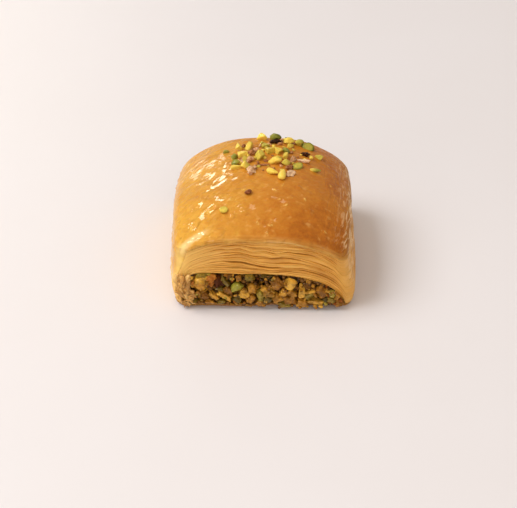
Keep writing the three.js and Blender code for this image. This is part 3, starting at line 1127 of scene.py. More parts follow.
@dataclass(frozen=True)
class SheetStack:
    """The filo sheets between the filling and the crust, each a band round the piece.

    An opening, where two sheets part, is the sheet's number, its place round the piece, its length
    and its height. The profile is of one sheet's edge: shares of the band's depth and of its height.
    """

    form: PieceForm
    sheets: int = 18
    columns: int = 640
    band: float = 2.4
    seed: int = 4
    girth: float = 210.0
    usual: tuple[float, ...] = (0.4, 0.6, 0.8, 1.1, 1.5, 2.0)
    openings: tuple[tuple[int, float, float, float], ...] = (
        (3, 0.955, 9.0, 0.4), (3, 0.04, 8.0, 0.25), (6, 0.985, 10.0, 0.45), (9, 0.96, 8.0, 0.35),
        (9, 0.025, 9.0, 0.4), (12, 0.06, 8.0, 0.25), (14, 0.97, 7.0, 0.25), (5, 0.075, 8.0, 0.3),
        (3, 0.47, 9.0, 0.5), (7, 0.51, 9.0, 0.5), (10, 0.54, 7.0, 0.4), (13, 0.49, 6.0, 0.35),
        (5, 0.24, 8.0, 0.4), (9, 0.28, 7.0, 0.4), (12, 0.22, 6.0, 0.35),
    )
    profile: tuple[tuple[float, float], ...] = (
        (1.0, 0.0), (0.12, 0.0), (0.04, 0.1), (0.0, 0.36), (0.0, 0.66), (0.03, 0.9), (0.1, 1.0), (1.0, 1.0)
    )

    def build(self, wardrobe: Wardrobe) -> list[bpy.types.Object]:
        """Builds the stack in two pieces.

        Args:
            wardrobe: The materials.

        Returns:
            The lower and the upper half.
        """
        half = self.sheets // 2
        place = self.form.outline().at(np.arange(self.columns) / self.columns)
        layout = self._layout(place)
        halves = (("lower_filo_sheets", 0), ("upper_filo_sheets", half))
        return [self._half(wardrobe, name, first, half, place, layout) for name, first in halves]

    def _half(
        self,
        wardrobe: Wardrobe,
        name: str,
        first: int,
        count: int,
        place: Outline,
        layout: Sequence[np.ndarray],
    ) -> bpy.types.Object:
        """Builds some of the sheets as one piece.

        Args:
            wardrobe: The materials.
            name: The piece's name.
            first: Its lowest sheet.
            count: How many sheets it has.
            place: The columns round the piece.
            layout: Where the sheets lie.

        Returns:
            The piece.
        """
        ring = [(1.0 - 0.1 * d, 0.01 * h) for d, h in self.profile]
        mesh = stacked(ring, True, self.columns, count, name)
        flat, spot, sheet = points(mesh), tag(mesh, "spot"), tag(mesh, "copy") + first
        column = np.round(np.arctan2(flat[:, 1], flat[:, 0]) / TURN * self.columns).astype(int) % self.columns
        bottom, top, inwards, tone = (part[sheet, column] for part in layout[:4])
        corner = layout[4][column]
        share = np.array([h for _, h in self.profile])[spot]
        depth = np.array([d for d, _ in self.profile])[spot] * self.band
        depth = depth * np.where(depth < 1, 1 - 0.85 * corner, 1.0)
        z = blend(bottom, top, share)
        here = place.at(place.turn[column])
        cover = smooth((z - self.form.crust_foot(here)) / 0.9)
        move(mesh, self.form.wall(here, z, blend(inwards, 0.9, cover) + depth))
        # Painted shade: deep tells how far into the recess between sheets a point is, for the gap colour.
        deep = smooth(depth / 1.2) * (1 - 0.7 * corner)
        mark(mesh, tone=blend(tone, 0.5, 0.8 * corner), deep=deep, level=(sheet + share) * 0.5)
        return stand(mesh, wardrobe.of(SheetFinish()), "pastry")

    def _layout(self, place: Outline) -> tuple[np.ndarray, ...]:
        """Lays the sheets on one another.

        Args:
            place: The columns round the piece.

        Returns:
            Each sheet's lower and upper height, how far in its edge is, its tone, and how near a corner of
            the piece each column is.
        """
        form, dice, turn = self.form, random.Random(self.seed), place.turn
        start, end = form.vault(place.point[:, 0]), form.crust_edge(place) + 0.1
        face = smooth(2 * np.abs(place.outward[:, 1]) - 0.5)
        near = smooth((-place.point[:, 0] - 14) / 10)
        corner = smooth((np.abs(place.point[:, 0]) - 21.5) / 3.5) * smooth((np.abs(place.point[:, 1]) - 17) / 6)
        calm = blend(0.3, 0.9, face) * blend(1.0, 0.4, corner)
        unit = (end - start) / self.sheets
        heights = np.zeros(len(start))
        rows = []
        for k in range(self.sheets):
            uneven = 1 + 0.45 * calm * ripple(turn, 100 + k, 4, 34, 0.8)
            thick = dice.choice(self.usual) * np.clip(uneven, 0.3, 2.0)
            gap = 0.015 + 0.19 * np.clip(ripple(turn, 300 + k, 5, 45, 0.5) + 0.02, 0, 1) ** 1.2
            gap = gap * blend(1.0, 0.3, near) * blend(0.5, 1.0, face) * blend(1.0, 0.15, corner)
            for sheet, middle, length, height in self.openings:
                if sheet == k:
                    away = np.mod(turn - middle + 0.5, 1.0) - 0.5
                    gap = gap + height / unit * np.maximum(0.0, 1 - (away * self.girth / length) ** 2)
            bottom = heights + gap
            heights = heights + gap + thick
            # How far back the edge stands: the sheet's own share, slow waves, torn steps and teeth.
            wave = 0.5 + 0.5 * ripple(turn, 500 + k, 4, 60, 0.6)
            tooth = ripple(turn, 600 + k, 60, 260, 0.2)
            step = np.clip(ripple(turn, 700 + k, 3, 26, 0.4) * 1.6, 0, 1)
            reach = 0.06 + dice.uniform(0.0, 0.18) + 0.14 * wave + 0.3 * step + 0.025 * tooth
            reach = reach * blend(0.75, 1.0, face) * blend(1.0, 0.35, corner)
            if k > self.sheets - 3:
                reach = 0.4 * reach
            tone = 0.5 + dice.uniform(-0.2, 0.2) + 0.3 * ripple(turn, 900 + k, 3, 40, 0.5)
            rows.append((bottom, heights, blend(reach, -0.02 + 0.1 * reach, near), np.clip(tone, 0, 1)))
        bottom, top, inwards, tone = (np.array(part) for part in zip(*rows))
        scale = (end - start) / heights
        return start + bottom * scale, start + top * scale, inwards, tone, corner


@dataclass(frozen=True)
class BaseSheets:
    """The flat sheets that the filling lies on."""

    form: PieceForm
    sheets: int = 3
    columns: int = 600
    profile: tuple[tuple[float, float], ...] = (
        (0.0, 0.0), (0.5, 0.0), (0.96, 0.0), (1.0, 0.2), (1.0, 0.72), (0.96, 0.92), (0.5, 0.92), (0.0, 0.92)
    )
    finish: SheetFinish = SheetFinish("soaked_filo", 0xD8A456, 0xB67E36, 0x8C5A20, 0x744818, 0.3)

    def build(self, wardrobe: Wardrobe) -> bpy.types.Object:
        """Builds the base as closed discs on one another.

        Args:
            wardrobe: The materials.

        Returns:
            The piece.
        """
        mesh = stacked(self.profile, False, self.columns, self.sheets, "base_sheets")
        flat, sheet = points(mesh), tag(mesh, "copy")
        tag(mesh, "spot")
        turn = np.mod(np.arctan2(flat[:, 1], flat[:, 0]) / TURN, 1.0)
        radius = np.hypot(flat[:, 0], flat[:, 1])
        place = self.form.outline().at(turn)
        z = (flat[:, 2] + sheet) * self.form.floor / self.sheets
        edge = np.zeros(len(turn))
        for k in range(self.sheets):
            edge = np.where(sheet == k, 0.25 + 0.2 * ripple(turn, 40 + k, 8, 120, 0.5), edge)
        lip = blend(1.0, 0.15, smooth((place.point[:, 0] + 7) / 8)) + 0.12 * ripple(turn, 50, 6, 90, 0.6)
        edge += np.where(sheet == 0, 0.45, 0.0) - lip * smooth(-1.6 * place.outward[:, 1] - 0.4)
        rim = place.point - place.outward * (edge + self.form.tuck(z))[:, None]
        inner = np.where(radius > 0.9, 1 - (1 - radius) * 0.5, radius)
        move(mesh, np.column_stack([rim * inner[:, None], z]))
        mark(mesh, tone=0.5, deep=0.3, level=z)
        return stand(mesh, wardrobe.of(self.finish), "pastry")


@dataclass(frozen=True)
class PastryCore:
    """The body of the sheets behind their edges, arched over the filling, painted dark as shade."""

    form: PieceForm
    cells: int = 64
    recess: float = 1.3

    def build(self, wardrobe: Wardrobe) -> bpy.types.Object:
        """Builds the core from a slab.

        Args:
            wardrobe: The materials.

        Returns:
            The piece.
        """
        form = self.form
        mesh, upper = slab("sheet_core", self.cells, self.cells)
        place, reach = form.spread(points(mesh))
        shrunk = place.point - place.outward * self.recess
        plan = (shrunk - place.outward * form.tuck_depth * 0.5) * reach[:, None]
        roof = form.over(form.lean_in(shrunk, 1.0) * reach[:, None], 1.6)
        where = np.where(upper[:, None], roof, np.column_stack([plan, form.vault(plan[:, 0]) + 0.25]))
        move(mesh, where)
        # Painted shade: the core shows only through the gaps, so it takes a dark tone and the full gap colour.
        mark(mesh, tone=0.8, deep=1.0, level=where[:, 2])
        return stand(mesh, wardrobe.of(SheetFinish()), "pastry")


# -------------------------------------------------------------------------------- the nuts

TRAY_SEED = 9000
GOLDEN_TURN = 0.618
KINDS = (Nut.WALNUT, Nut.PISTACHIO, Nut.SKIN)


class Cut(Enum):
    """The shapes that a knife leaves.

    Each is how many faces it has round it, how deep they are, how much it tapers and how high its flat
    top is, or 0 for none.
    """

    CHUNK = (6, 0.62, 0.0, 0.0)
    BLOCK = (4, 0.7, 0.0, 0.7)
    PLATE = (4, 0.66, 0.0, 0.45)
    WEDGE = (3, 0.5, 0.0, 0.6)
    DROP = (0, 1.0, 0.7, 0.0)
    SLICE = (0, 1.0, 0.0, 0.5)
    FLAKE = (3, 0.7, 0.0, 0.3)
    CRUMB = (4, 0.6, 0.1, 0.0)


@dataclass(frozen=True)
class Morsel:
    """One chopped piece: its cut, half sizes, place, turn, tone and how much skin it keeps."""

    cut: Cut
    size: Triple
    place: Triple
    turn: Triple
    tone: float
    skin: float = 0.0
    lumps: float = 0.12
    fineness: int = 3
    fade: float = 0.0


class Tray:
    """Chopped pieces of one kind, gathered in one mesh."""

    def __init__(self) -> None:
        """Starts empty."""
        self.bm = bmesh.new()
        self.tone = self.bm.verts.layers.float.new("tone")
        self.skin = self.bm.verts.layers.float.new("skin")
        self.count = 0

    def add(self, morsel: Morsel) -> None:
        """Chops one piece.

        Args:
            morsel: What it is.
        """
        self.count += 1
        dice = random.Random(TRAY_SEED + self.count)
        faces, depth, taper, flat = morsel.cut.value
        planes = []
        for i in range(faces):
            tilt = dice.uniform(-0.9, 0.9) * (0.15 if flat else 1.0)
            angle = TURN * (i / faces + dice.uniform(-0.04, 0.04))
            normal = Vector((math.cos(angle), math.sin(angle), tilt)).normalized()
            planes.append((normal, depth * dice.uniform(0.85, 1.2)))
        if flat:
            top = Vector((dice.uniform(-0.15, 0.15), dice.uniform(-0.15, 0.15), 1)).normalized()
            planes += [(top, flat), (-top, flat)]
        shift = Vector([dice.uniform(0, 50) for _ in range(3)])
        turn, place = Euler([TURN * t for t in morsel.turn]).to_matrix(), Vector(morsel.place)
        ball = bmesh.ops.create_icosphere(self.bm, subdivisions=morsel.fineness, radius=1.0)
        for vert in ball["verts"]:
            p = vert.co.copy()
            cut = 0.0
            for normal, reach in planes:
                over = p.dot(normal) - reach
                if over > 0:
                    p -= normal * over
                    cut = 1.0
            p += vert.co * (morsel.lumps * noise.noise(vert.co * 1.7 + shift))
            crinkle = noise.noise(vert.co * 4.5 + shift) + 0.5 * noise.noise(vert.co * 9.5 + shift)
            p += vert.co * (0.35 * morsel.lumps * crinkle)
            along, out = p.x, math.hypot(p.x, p.y)
            slim = (1 - taper * 0.5 * (p.x + 1)) if taper else 1.0
            p.y *= slim
            p.z *= slim
            vert.co = place + turn @ Vector([part * half for part, half in zip(p, morsel.size)])
            # Painted shade and highlight: the crinkle that dents the piece also darkens its hollows and
            # lightens its ridges.
            vert[self.tone] = morsel.tone + morsel.fade * along + 0.9 * min(morsel.lumps, 0.35) * crinkle
            edge = held((out - 0.6) / 0.2, 0.0, 1.0) if faces == 0 and flat else 0.0
            vert[self.skin] = morsel.skin * max(1 - cut, edge)

    def serve(
        self,
        name: str,
        material: bpy.types.Material,
        node: str,
        press: Callable[[np.ndarray], np.ndarray] | None = None,
    ) -> bpy.types.Object:
        """Turns the tray into a piece of the part.

        Args:
            name: The piece's name.
            material: Its material.
            node: The solid that it stands for.
            press: Moves its points to where there is room for them.

        Returns:
            The piece.
        """
        mesh = mesh_of(self.bm, name)
        if press is not None:
            move(mesh, press(points(mesh)))
        return stand(mesh, material, node)


@dataclass(frozen=True)
class Chunk:
    """A nut that shows on the front face: its kind, cut, place on it, half sizes, tone, tip and depth."""

    nut: Nut
    cut: Cut
    x: float
    z: float
    wide: float
    high: float
    tone: float
    tip: float = 0.0
    back: float = 0.3
    skin: float = 0.2
    lumps: float = 0.26

    @classmethod
    def listed(cls, row: str) -> "Chunk":
        """Reads a row of the list below, in the order of the fields."""
        nut, cut, *numbers = row.split()
        return cls(Nut[nut], Cut[cut], *map(float, numbers))


CHUNKS = """
WALNUT CHUNK -19.4 6.9 3.0 3.5 0.7 0.04 0.3 0.5 0.3
WALNUT CHUNK -18.9 10.2 2.2 1.2 0.95 -0.07 0.4
WALNUT CHUNK -17.8 4.2 1.6 1.1 0.3 0.03 0.1
PISTACHIO CHUNK -18.6 12.0 1.7 0.9 0.55 -0.06 0.8
SKIN CHUNK -15.9 10.2 1.6 1.9 0.85 0.04 0.3
SKIN CHUNK -13.9 9.6 2.0 1.7 0.25 0.1 0.6
PISTACHIO PLATE -11.7 10.4 2.2 0.9 0.4 0.145 0.5
PISTACHIO CHUNK -8.1 8.2 2.1 1.3 1.05 -0.11 0.0 0.0 0.12
WALNUT PLATE -15.3 5.2 1.9 1.0 0.8 0.13 0.1
WALNUT PLATE -12.0 4.9 2.4 1.2 0.9 0.1 0.0
WALNUT CHUNK -10.8 6.9 1.3 1.3 0.4 0.0 0.2 0.6
PISTACHIO CHUNK -13.3 7.4 1.5 0.7 0.45 0.0 0.5
WALNUT CHUNK -6.1 5.7 1.9 1.4 0.88 -0.05 0.1
WALNUT CHUNK -3.3 7.6 2.0 1.4 0.68 -0.06 0.2
PISTACHIO CHUNK -1.1 5.0 1.3 1.7 0.75 0.0 0.2 0.0
WALNUT CHUNK -4.1 3.8 1.6 1.3 0.62 0.0 0.2
WALNUT CHUNK -10.9 12.2 1.5 0.9 0.3 0.0 0.9
WALNUT CHUNK -7.6 11.3 0.9 0.9 0.5 0.0 0.7 0.6
PISTACHIO CHUNK -4.4 11.6 1.5 1.1 0.45 0.0 0.7
PISTACHIO CHUNK -8.1 3.7 1.4 1.2 0.28 0.0 0.4
PISTACHIO CHUNK -21.3 2.2 1.6 0.8 0.6 0.0 0.4
WALNUT CHUNK -16.6 2.4 1.2 0.7 0.45 0.03 0.3
PISTACHIO CHUNK -12.9 2.5 1.3 0.6 0.5 0.0 0.2
PISTACHIO CHUNK 0.6 11.9 1.9 0.8 0.15 0.0 1.0
WALNUT CHUNK 3.9 9.6 1.9 1.5 0.35 0.0 0.5
WALNUT CHUNK 7.7 9.5 2.1 1.6 0.98 0.03 0.0 0.0 0.12
WALNUT BLOCK 11.5 6.5 1.0 1.7 0.92 0.01 0.0 0.0 0.12
WALNUT CHUNK 1.4 6.5 2.2 1.6 0.8 0.03 0.1 0.3 0.34
WALNUT CHUNK 5.9 6.6 1.3 1.0 0.78 0.0 0.1
WALNUT PLATE 8.5 6.5 1.8 1.3 0.66 0.1 0.1
WALNUT CHUNK 4.2 4.5 1.9 1.4 0.68 -0.03 0.0
PISTACHIO CHUNK 1.0 3.4 1.3 1.1 0.35 0.0 0.2
WALNUT CHUNK 7.7 3.9 2.1 1.5 0.45 0.02 0.1 0.5
PISTACHIO CHUNK 14.0 5.6 1.7 1.3 0.6 0.0 0.2
WALNUT PLATE 14.0 7.0 1.7 0.6 0.86 -0.02 0.1
WALNUT CHUNK 13.9 8.4 1.8 1.0 0.1 0.0 0.9
WALNUT CHUNK 17.3 6.8 1.7 2.0 0.4 0.02 0.2 0.6
PISTACHIO CHUNK 20.8 6.0 1.2 0.9 0.75 0.0 0.4
PISTACHIO CHUNK 18.6 3.8 1.3 0.8 0.1 -0.07 0.2
PISTACHIO CHUNK 20.5 3.7 1.2 0.9 0.55 0.0 0.2
WALNUT PLATE 15.8 3.3 2.9 0.9 0.85 0.02 0.0
WALNUT CHUNK 22.4 5.2 1.3 1.3 0.55 0.0 0.3
WALNUT CHUNK 11.4 2.5 1.8 1.4 0.62 0.0 -0.05
PISTACHIO CHUNK 6.2 1.9 2.2 0.8 0.62 0.0 0.1
WALNUT CHUNK 22.6 2.4 1.6 1.0 0.5 0.0 0.2
WALNUT CHUNK -0.6 2.2 1.8 0.9 0.55 0.0 0.1
WALNUT CRUMB 17.4 1.4 0.7 0.5 1.0 0.0 0.1
"""


@dataclass(frozen=True)
class Filling:
    """Chopped walnut and pistachio bound with syrup, from the front face to the back.

    The shares are of walnut, pistachio and skin. A size is the least and the most half length.
    """

    form: PieceForm
    columns: int = 12
    rows: int = 3
    chunk_size: tuple[float, float] = (1.9, 3.2)
    chunk_shares: Triple = (0.7, 0.24, 0.06)
    crumbs: int = 110
    crumb_size: tuple[float, float] = (0.5, 1.1)
    crumb_shares: Triple = (0.72, 0.16, 0.12)
    meal: int = 420
    meal_size: tuple[float, float] = (0.6, 1.3)
    proud: float = 1.15
    full: float = 1.24
    left: float = -25.0
    right: float = 24.2
    seeds: tuple[int, int] = (31, 72)
    core_recess: float = 2.6

    def build(self, wardrobe: Wardrobe) -> list[bpy.types.Object]:
        """Builds the bound core and the pieces that show on each face.

        Args:
            wardrobe: The materials.

        Returns:
            The pieces.
        """
        trays = {nut: Tray() for nut in (*KINDS, Nut.PASTE)}
        for chunk in map(Chunk.listed, CHUNKS.strip().splitlines()):
            share = (chunk.z - self.form.floor) / self._room(chunk.x)
            deep = 0.55 * (chunk.wide + chunk.high)
            place = self._spot(-1, chunk.x, share, chunk.back + deep * 0.8)
            size = (chunk.wide * self.full, deep * self.full, chunk.high * self.full)
            turn = (0.0, chunk.tip, 0.0)
            trays[chunk.nut].add(Morsel(chunk.cut, size, place, turn, chunk.tone, chunk.skin, chunk.lumps, 4))
        for side, seed in zip((-1, 1), self.seeds):
            dice = random.Random(seed)
            self._chunks(trays, side, dice)
            self._crumbs(trays, side, dice)
            self._meal(trays[Nut.PASTE], side, dice)
        pieces = [self._core(wardrobe)]
        for nut, tray in trays.items():
            name = f"filling_{nut.value.name}"
            pieces.append(tray.serve(name, wardrobe.of(nut.value), "filling", self._press))
        return pieces

    def _press(self, where: np.ndarray) -> np.ndarray:
        """Keeps points under the roof, above the rest and behind the cut faces.

        Args:
            where: The points.

        Returns:
            Where they go.
        """
        x = np.clip(where[:, 0], self.left - 0.2, self.right + 0.2)
        to_right = smooth((x + 7) / 8)
        low = blend(1.1, 0.2, to_right) * (1 - smooth((where[:, 2] - 1.0) / 1.8))
        deep = self.form.half_depth + self.proud
        y = np.clip(where[:, 1], -(deep + self.form.forward(x) - low), deep - 0.4)
        roof = np.maximum(self.form.vault(x) - 0.12, 1.4)
        return np.column_stack([x, y, np.clip(where[:, 2], blend(1.0, 0.55, to_right), roof)])

    def _room(self, x: float) -> float:
        """Gives the height between the base and the roof."""
        return float(self.form.vault(np.array([x]))[0]) - self.form.floor

    def _spot(self, side: int, x: float, share: float, back: float) -> Triple:
        """Finds a place on one face.

        Args:
            side: -1 for the front and 1 for the back.
            x: Where across the face.
            share: How high, as a share of the room there.
            back: How far behind the foremost nut.

        Returns:
            The place.
        """
        form = self.form
        ahead = float(form.forward(np.array([x]))[0]) if side < 0 else 0.0
        return (x, side * (form.half_depth + self.proud + ahead - back), form.floor + self._room(x) * share)

    def _chunks(self, trays: Mapping[Nut, Tray], side: int, dice: random.Random) -> None:
        """Fills one face with chopped pieces, two deep, behind those that are listed.

        Args:
            trays: Where the pieces go, by kind.
            side: -1 for the front and 1 for the back.
            dice: Its chances.
        """
        slots = [(a, b, c) for a in range(2) for b in range(self.columns) for c in range(self.rows)]
        for layer, column, row in slots:
            across = (column + 0.5 * (row % 2) + dice.uniform(0.1, 0.9)) / (self.columns + 0.5)
            long = dice.uniform(*self.chunk_size)
            size = (long, long * dice.uniform(0.6, 0.8), long * dice.uniform(0.5, 0.8))
            back = size[1] * 0.7 + (0.0 if layer else 1.5) + dice.uniform(-0.3, 1.2)
            share = (row + dice.uniform(0.15, 0.85)) / self.rows
            x = self.left + (self.right - self.left) * across
            place = self._spot(side, x, share, back + (0.8 if side < 0 else 0.0))
            nut = dice.choices(KINDS, self.chunk_shares)[0]
            turn = (dice.uniform(-0.1, 0.1), dice.random(), dice.uniform(-0.1, 0.1))
            cut = dice.choice([Cut.CHUNK, Cut.CHUNK, Cut.BLOCK, Cut.WEDGE])
            tone, skin = dice.uniform(0.1, 0.9), dice.random()
            if side > 0 or not layer or abs(place[0]) >= 23:
                trays[nut].add(Morsel(cut, size, place, turn, tone, skin, 0.3, 2 + layer))

    def _crumbs(self, trays: Mapping[Nut, Tray], side: int, dice: random.Random) -> None:
        """Strews crumbs over one face.

        Args:
            trays: Where the crumbs go, by kind.
            side: -1 for the front and 1 for the back.
            dice: Its chances.
        """
        for _ in range(self.crumbs):
            x, share, back = dice.uniform(-22.0, 23.8), dice.random() ** 1.4 - 0.02, dice.uniform(0.3, 1.8)
            place, long = self._spot(side, x, share, back), dice.uniform(*self.crumb_size)
            nut = dice.choices(KINDS, self.crumb_shares)[0]
            turn, size = (dice.random(), dice.random(), dice.random()), (long, long * 0.8, long * 0.7)
            trays[nut].add(Morsel(Cut.CRUMB, size, place, turn, dice.uniform(0.2, 0.9), 0.3, 0.25, 2))

    def _meal(self, tray: Tray, side: int, dice: random.Random) -> None:
        """Fills the gaps of one face with ground nut, dark partly as painted shade in the gaps.

        Args:
            tray: Where the meal goes.
            side: -1 for the front and 1 for the back.
            dice: Its chances.
        """
        for _ in range(self.meal):
            x, share, back = dice.uniform(self.left, self.right), dice.uniform(0.0, 1.0), dice.uniform(1.7, 3.0)
            long = dice.uniform(*self.meal_size)
            turn, size = (dice.random(), dice.random(), dice.random()), (long, long * 0.8, long * 0.8)
            place = self._spot(side, x, share, back)
            tray.add(Morsel(Cut.CRUMB, size, place, turn, dice.random(), 0.5, 0.3, 1))

    def _core(self, wardrobe: Wardrobe) -> bpy.types.Object:
        """Builds the bound core, rough on its faces and dark with painted shade behind the chunks.

        Args:
            wardrobe: The materials.

        Returns:
            The piece.
        """
        form = self.form
        mesh, upper = slab("filling_core", 90, 60)
        flat = points(mesh)
        x = np.where(flat[:, 0] > 0, flat[:, 0] * self.right, flat[:, 0] * -self.left)
        y = flat[:, 1] * (form.half_depth - self.core_recess)
        rough = np.array([noise.noise(Vector((a / 1.8, b / 1.8, 0))) for a, b in zip(x, flat[:, 1] * 3)])
        y = y + np.where(np.abs(flat[:, 1]) > 0.99, np.sign(y) * (0.6 * rough), 0)
        z = np.where(upper, np.maximum(form.vault(x) - 0.3, 1.5), form.floor + 0.1)
        move(mesh, np.column_stack([x, y, z]))
        # Painted shade: the core takes a dark tone and much of the dark skin colour.
        mark(mesh, tone=0.4, skin=0.6)
        return stand(mesh, wardrobe.of(Nut.PASTE.value), "filling")


@dataclass(frozen=True)
class Topping:
    """One piece of chopped nut on the crust, as a cook dropped it."""

    nut: Nut
    cut: Cut
    x: float
    y: float
    size: Triple
    heading: float
    tone: float
    tilt: float = 0.0
    skin: float = 0.0
    lean: float = 0.0
    fade: float = 0.0
    lumps: float = 0.1

    @classmethod
    def listed(cls, row: str) -> "Topping":
        """Reads a row of the list below, in the order of the fields.

        Args:
            row: The row.

        Returns:
            The piece.
        """
        nut, cut, *numbers = row.split()
        x, y, long, wide, high, *rest = map(float, numbers)
        return cls(Nut[nut], Cut[cut], x, y, (long, wide, high), *rest)


TOPPINGS = """
TOPPING WEDGE -0.5 22.6 1.9 2.0 1.5 0.74 0.98 0.0 0.0 0.08
TOPPING CHUNK 3.9 20.9 2.1 1.5 1.6 0.93 0.2 0.0 0.3 0.0 -0.2 0.25
FLAKE CHUNK 3.7 19.0 2.0 1.0 0.9 0.02 0.02 0.0 0.0 0.0 0.0 0.4
TOPPING CHUNK 8.1 20.3 2.4 1.6 1.3 0.03 0.86 0.04 0.1 0.05 0.0 0.3
TOPPING CRUMB 7.3 21.9 1.0 0.8 0.9 0.2 0.15
TOPPING CHUNK 11.3 19.9 1.9 1.4 1.2 0.05 0.52 0.0 0.3 0.0 -0.1
TOPPING SLICE 14.2 18.8 2.0 1.7 1.1 0.96 0.42 0.04 1.0 0.11
TOPPING WEDGE -7.7 15.2 2.0 1.1 1.4 0.74 0.86 0.0 0.0 0.1 -0.05
TOPPING BLOCK -4.6 14.3 2.6 1.1 1.3 0.19 0.72 -0.06 0.2 0.0 -0.1
TOPPING CRUMB -11.9 14.0 1.2 0.8 0.6 0.0 0.32
TOPPING WEDGE 0.6 15.6 1.6 1.3 1.1 0.45 0.5 0.0 0.2
TOPPING WEDGE 1.9 12.0 1.9 1.6 1.4 0.55 0.68 0.0 0.0 0.05 -0.06
TOPPING WEDGE 4.5 12.0 1.7 1.6 1.3 0.25 0.74 0.0 0.0 0.05
TOPPING CHUNK 7.1 12.9 1.7 1.3 1.1 0.3 0.3 0.0 0.4 0.0 0.1
TOPPING WEDGE -6.8 9.8 2.1 1.6 1.4 0.52 0.94 0.0 0.0 0.06
TOPPING CHUNK -9.2 9.4 1.4 1.2 0.8 0.1 0.24
TOPPING WEDGE -1.2 8.8 2.2 1.7 1.7 0.26 0.62 0.0 0.0 0.08
TOPPING BLOCK 6.9 8.9 1.8 0.9 1.2 0.2 0.74 0.0 0.2 0.0 0.1
TOPPING CHUNK 3.5 5.6 2.3 1.6 1.3 0.98 0.86 0.0 0.0 0.0 0.04
TOPPING CHUNK 4.6 7.7 1.4 1.0 0.9 0.1 0.6
TOPPING CHUNK 6.9 5.3 1.6 1.4 1.1 0.1 0.6
TOPPING DROP 2.7 -0.3 2.0 1.5 1.2 0.93 0.84
TOPPING DROP 5.7 -1.4 2.6 1.65 1.3 0.22 0.88
TOPPING CHUNK -5.8 3.2 1.5 1.6 1.3 0.0 0.72 0.0 0.0 0.0 -0.3
TOPPING CHUNK -8.6 5.2 1.5 1.3 1.0 0.1 0.32 0.0 0.2 0.0 0.15
TOPPING WEDGE -8.9 3.1 2.0 1.1 0.9 0.5 0.8
TOPPING SLICE 10.5 4.3 1.9 1.25 0.9 0.1 0.52 0.0 0.55 0.08
TOPPING CHUNK 17.6 14.0 1.5 1.2 0.9 0.95 0.56 0.0 0.2
TOPPING DROP 16.1 4.5 1.8 1.0 0.9 0.98 0.5 0.0 0.2 0.0 -0.3
TOPPING SLICE -12.0 -16.0 1.35 1.35 0.8 0.3 0.64
FLAKE CRUMB -4.7 -10.0 1.5 0.9 0.8 0.12 0.4
FLAKE FLAKE -3.6 0.6 2.3 1.7 1.5 0.16 0.98 0.06 0.3 0.1 0.0 0.7
FLAKE FLAKE -2.6 2.2 1.4 0.8 1.1 0.2 0.9 0.1 0.3 0.1 0.0 0.7
FLAKE FLAKE -6.8 6.3 2.6 1.0 0.9 0.02 0.9 0.0 0.3 0.08 0.0 0.6
FLAKE CHUNK -4.2 7.0 1.6 1.1 0.9 0.1 0.76 0.0 0.0 0.0 0.0 0.4
FLAKE CHUNK -3.9 11.0 1.7 1.1 0.9 0.1 0.6 0.0 0.0 0.0 0.0 0.4
FLAKE CHUNK -2.2 12.9 1.3 0.9 0.8 0.1 0.84 0.0 0.0 0.0 0.0 0.4
FLAKE PLATE -0.4 3.8 2.9 0.55 0.5 0.01 0.5 0.0 0.6 0.0 0.0 0.3
FLAKE PLATE 12.1 8.3 2.8 0.75 0.6 0.97 0.94 0.0 0.2 0.0 0.0 0.3
FLAKE FLAKE 9.0 7.4 1.9 1.0 1.0 0.2 0.74 0.0 0.4 0.1 0.0 0.6
FLAKE FLAKE 8.2 -0.3 1.9 1.1 1.0 0.1 1.0 0.0 0.0 0.1 0.0 0.7
FLAKE CHUNK 7.9 2.9 1.5 0.8 0.8 0.1 0.5 0.0 0.0 0.0 0.0 0.4
FLAKE CHUNK 13.0 12.7 1.7 0.9 0.8 0.95 0.06 0.0 0.0 0.0 0.0 0.4
TOPPING CRUMB 14.8 11.4 0.9 0.8 0.7 0.3 0.75
TOPPING CHUNK 8.4 17.0 1.3 0.9 0.8 0.1 0.66
TOPPING CHUNK -5.9 6.9 1.4 1.1 1.1 0.1 0.64
"""


@dataclass(frozen=True)
class Toppings:
    """Chopped pistachio and its skins on the crust."""

    form: PieceForm
    seed: int = 55
    small: int = 56
    middle: tuple[float, float] = (1.6, 9.6)
    spread: tuple[float, float] = (11.5, 10.0)

    def build(self, wardrobe: Wardrobe) -> list[bpy.types.Object]:
        """Lays the pieces on the crust.

        Args:
            wardrobe: The materials.

        Returns:
            The pistachio and the skins.
        """
        dice = random.Random(self.seed)
        laid = [Topping.listed(row) for row in TOPPINGS.strip().splitlines()]
        for i in range(self.small):
            reach, angle = math.sqrt((i + 0.5) / self.small), TURN * GOLDEN_TURN * i
            way = (math.cos(angle), math.sin(angle))
            x, y = (a + b * reach * c for a, b, c in zip(self.middle, self.spread, way))
            long, nut = dice.uniform(0.4, 0.9), Nut.TOPPING if i % 2 else Nut.FLAKE
            size = (long * 1.2, long * 0.8, long * 0.6)
            laid.append(Topping(nut, Cut.CRUMB, x, y, size, dice.random(), dice.uniform(0.4, 0.85)))
        trays = {Nut.TOPPING: Tray(), Nut.FLAKE: Tray()}
        sunk = {Cut.WEDGE: 0.5, Cut.SLICE: 0.42, Cut.FLAKE: 0.3, Cut.PLATE: 0.4}
        for item in laid:
            height = float(self.form.dome(np.array([item.x]), np.array([item.y]))[0])
            place = (item.x, item.y, height + sunk.get(item.cut, 0.6) * item.size[2])
            turn = (item.lean, item.tilt, item.heading)
            morsel = Morsel(item.cut, item.size, place, turn, item.tone, item.skin, item.lumps, 3, item.fade)
            trays[item.nut].add(morsel)
        return [tray.serve(nut.value.name, wardrobe.of(nut.value), "pastry") for nut, tray in trays.items()]


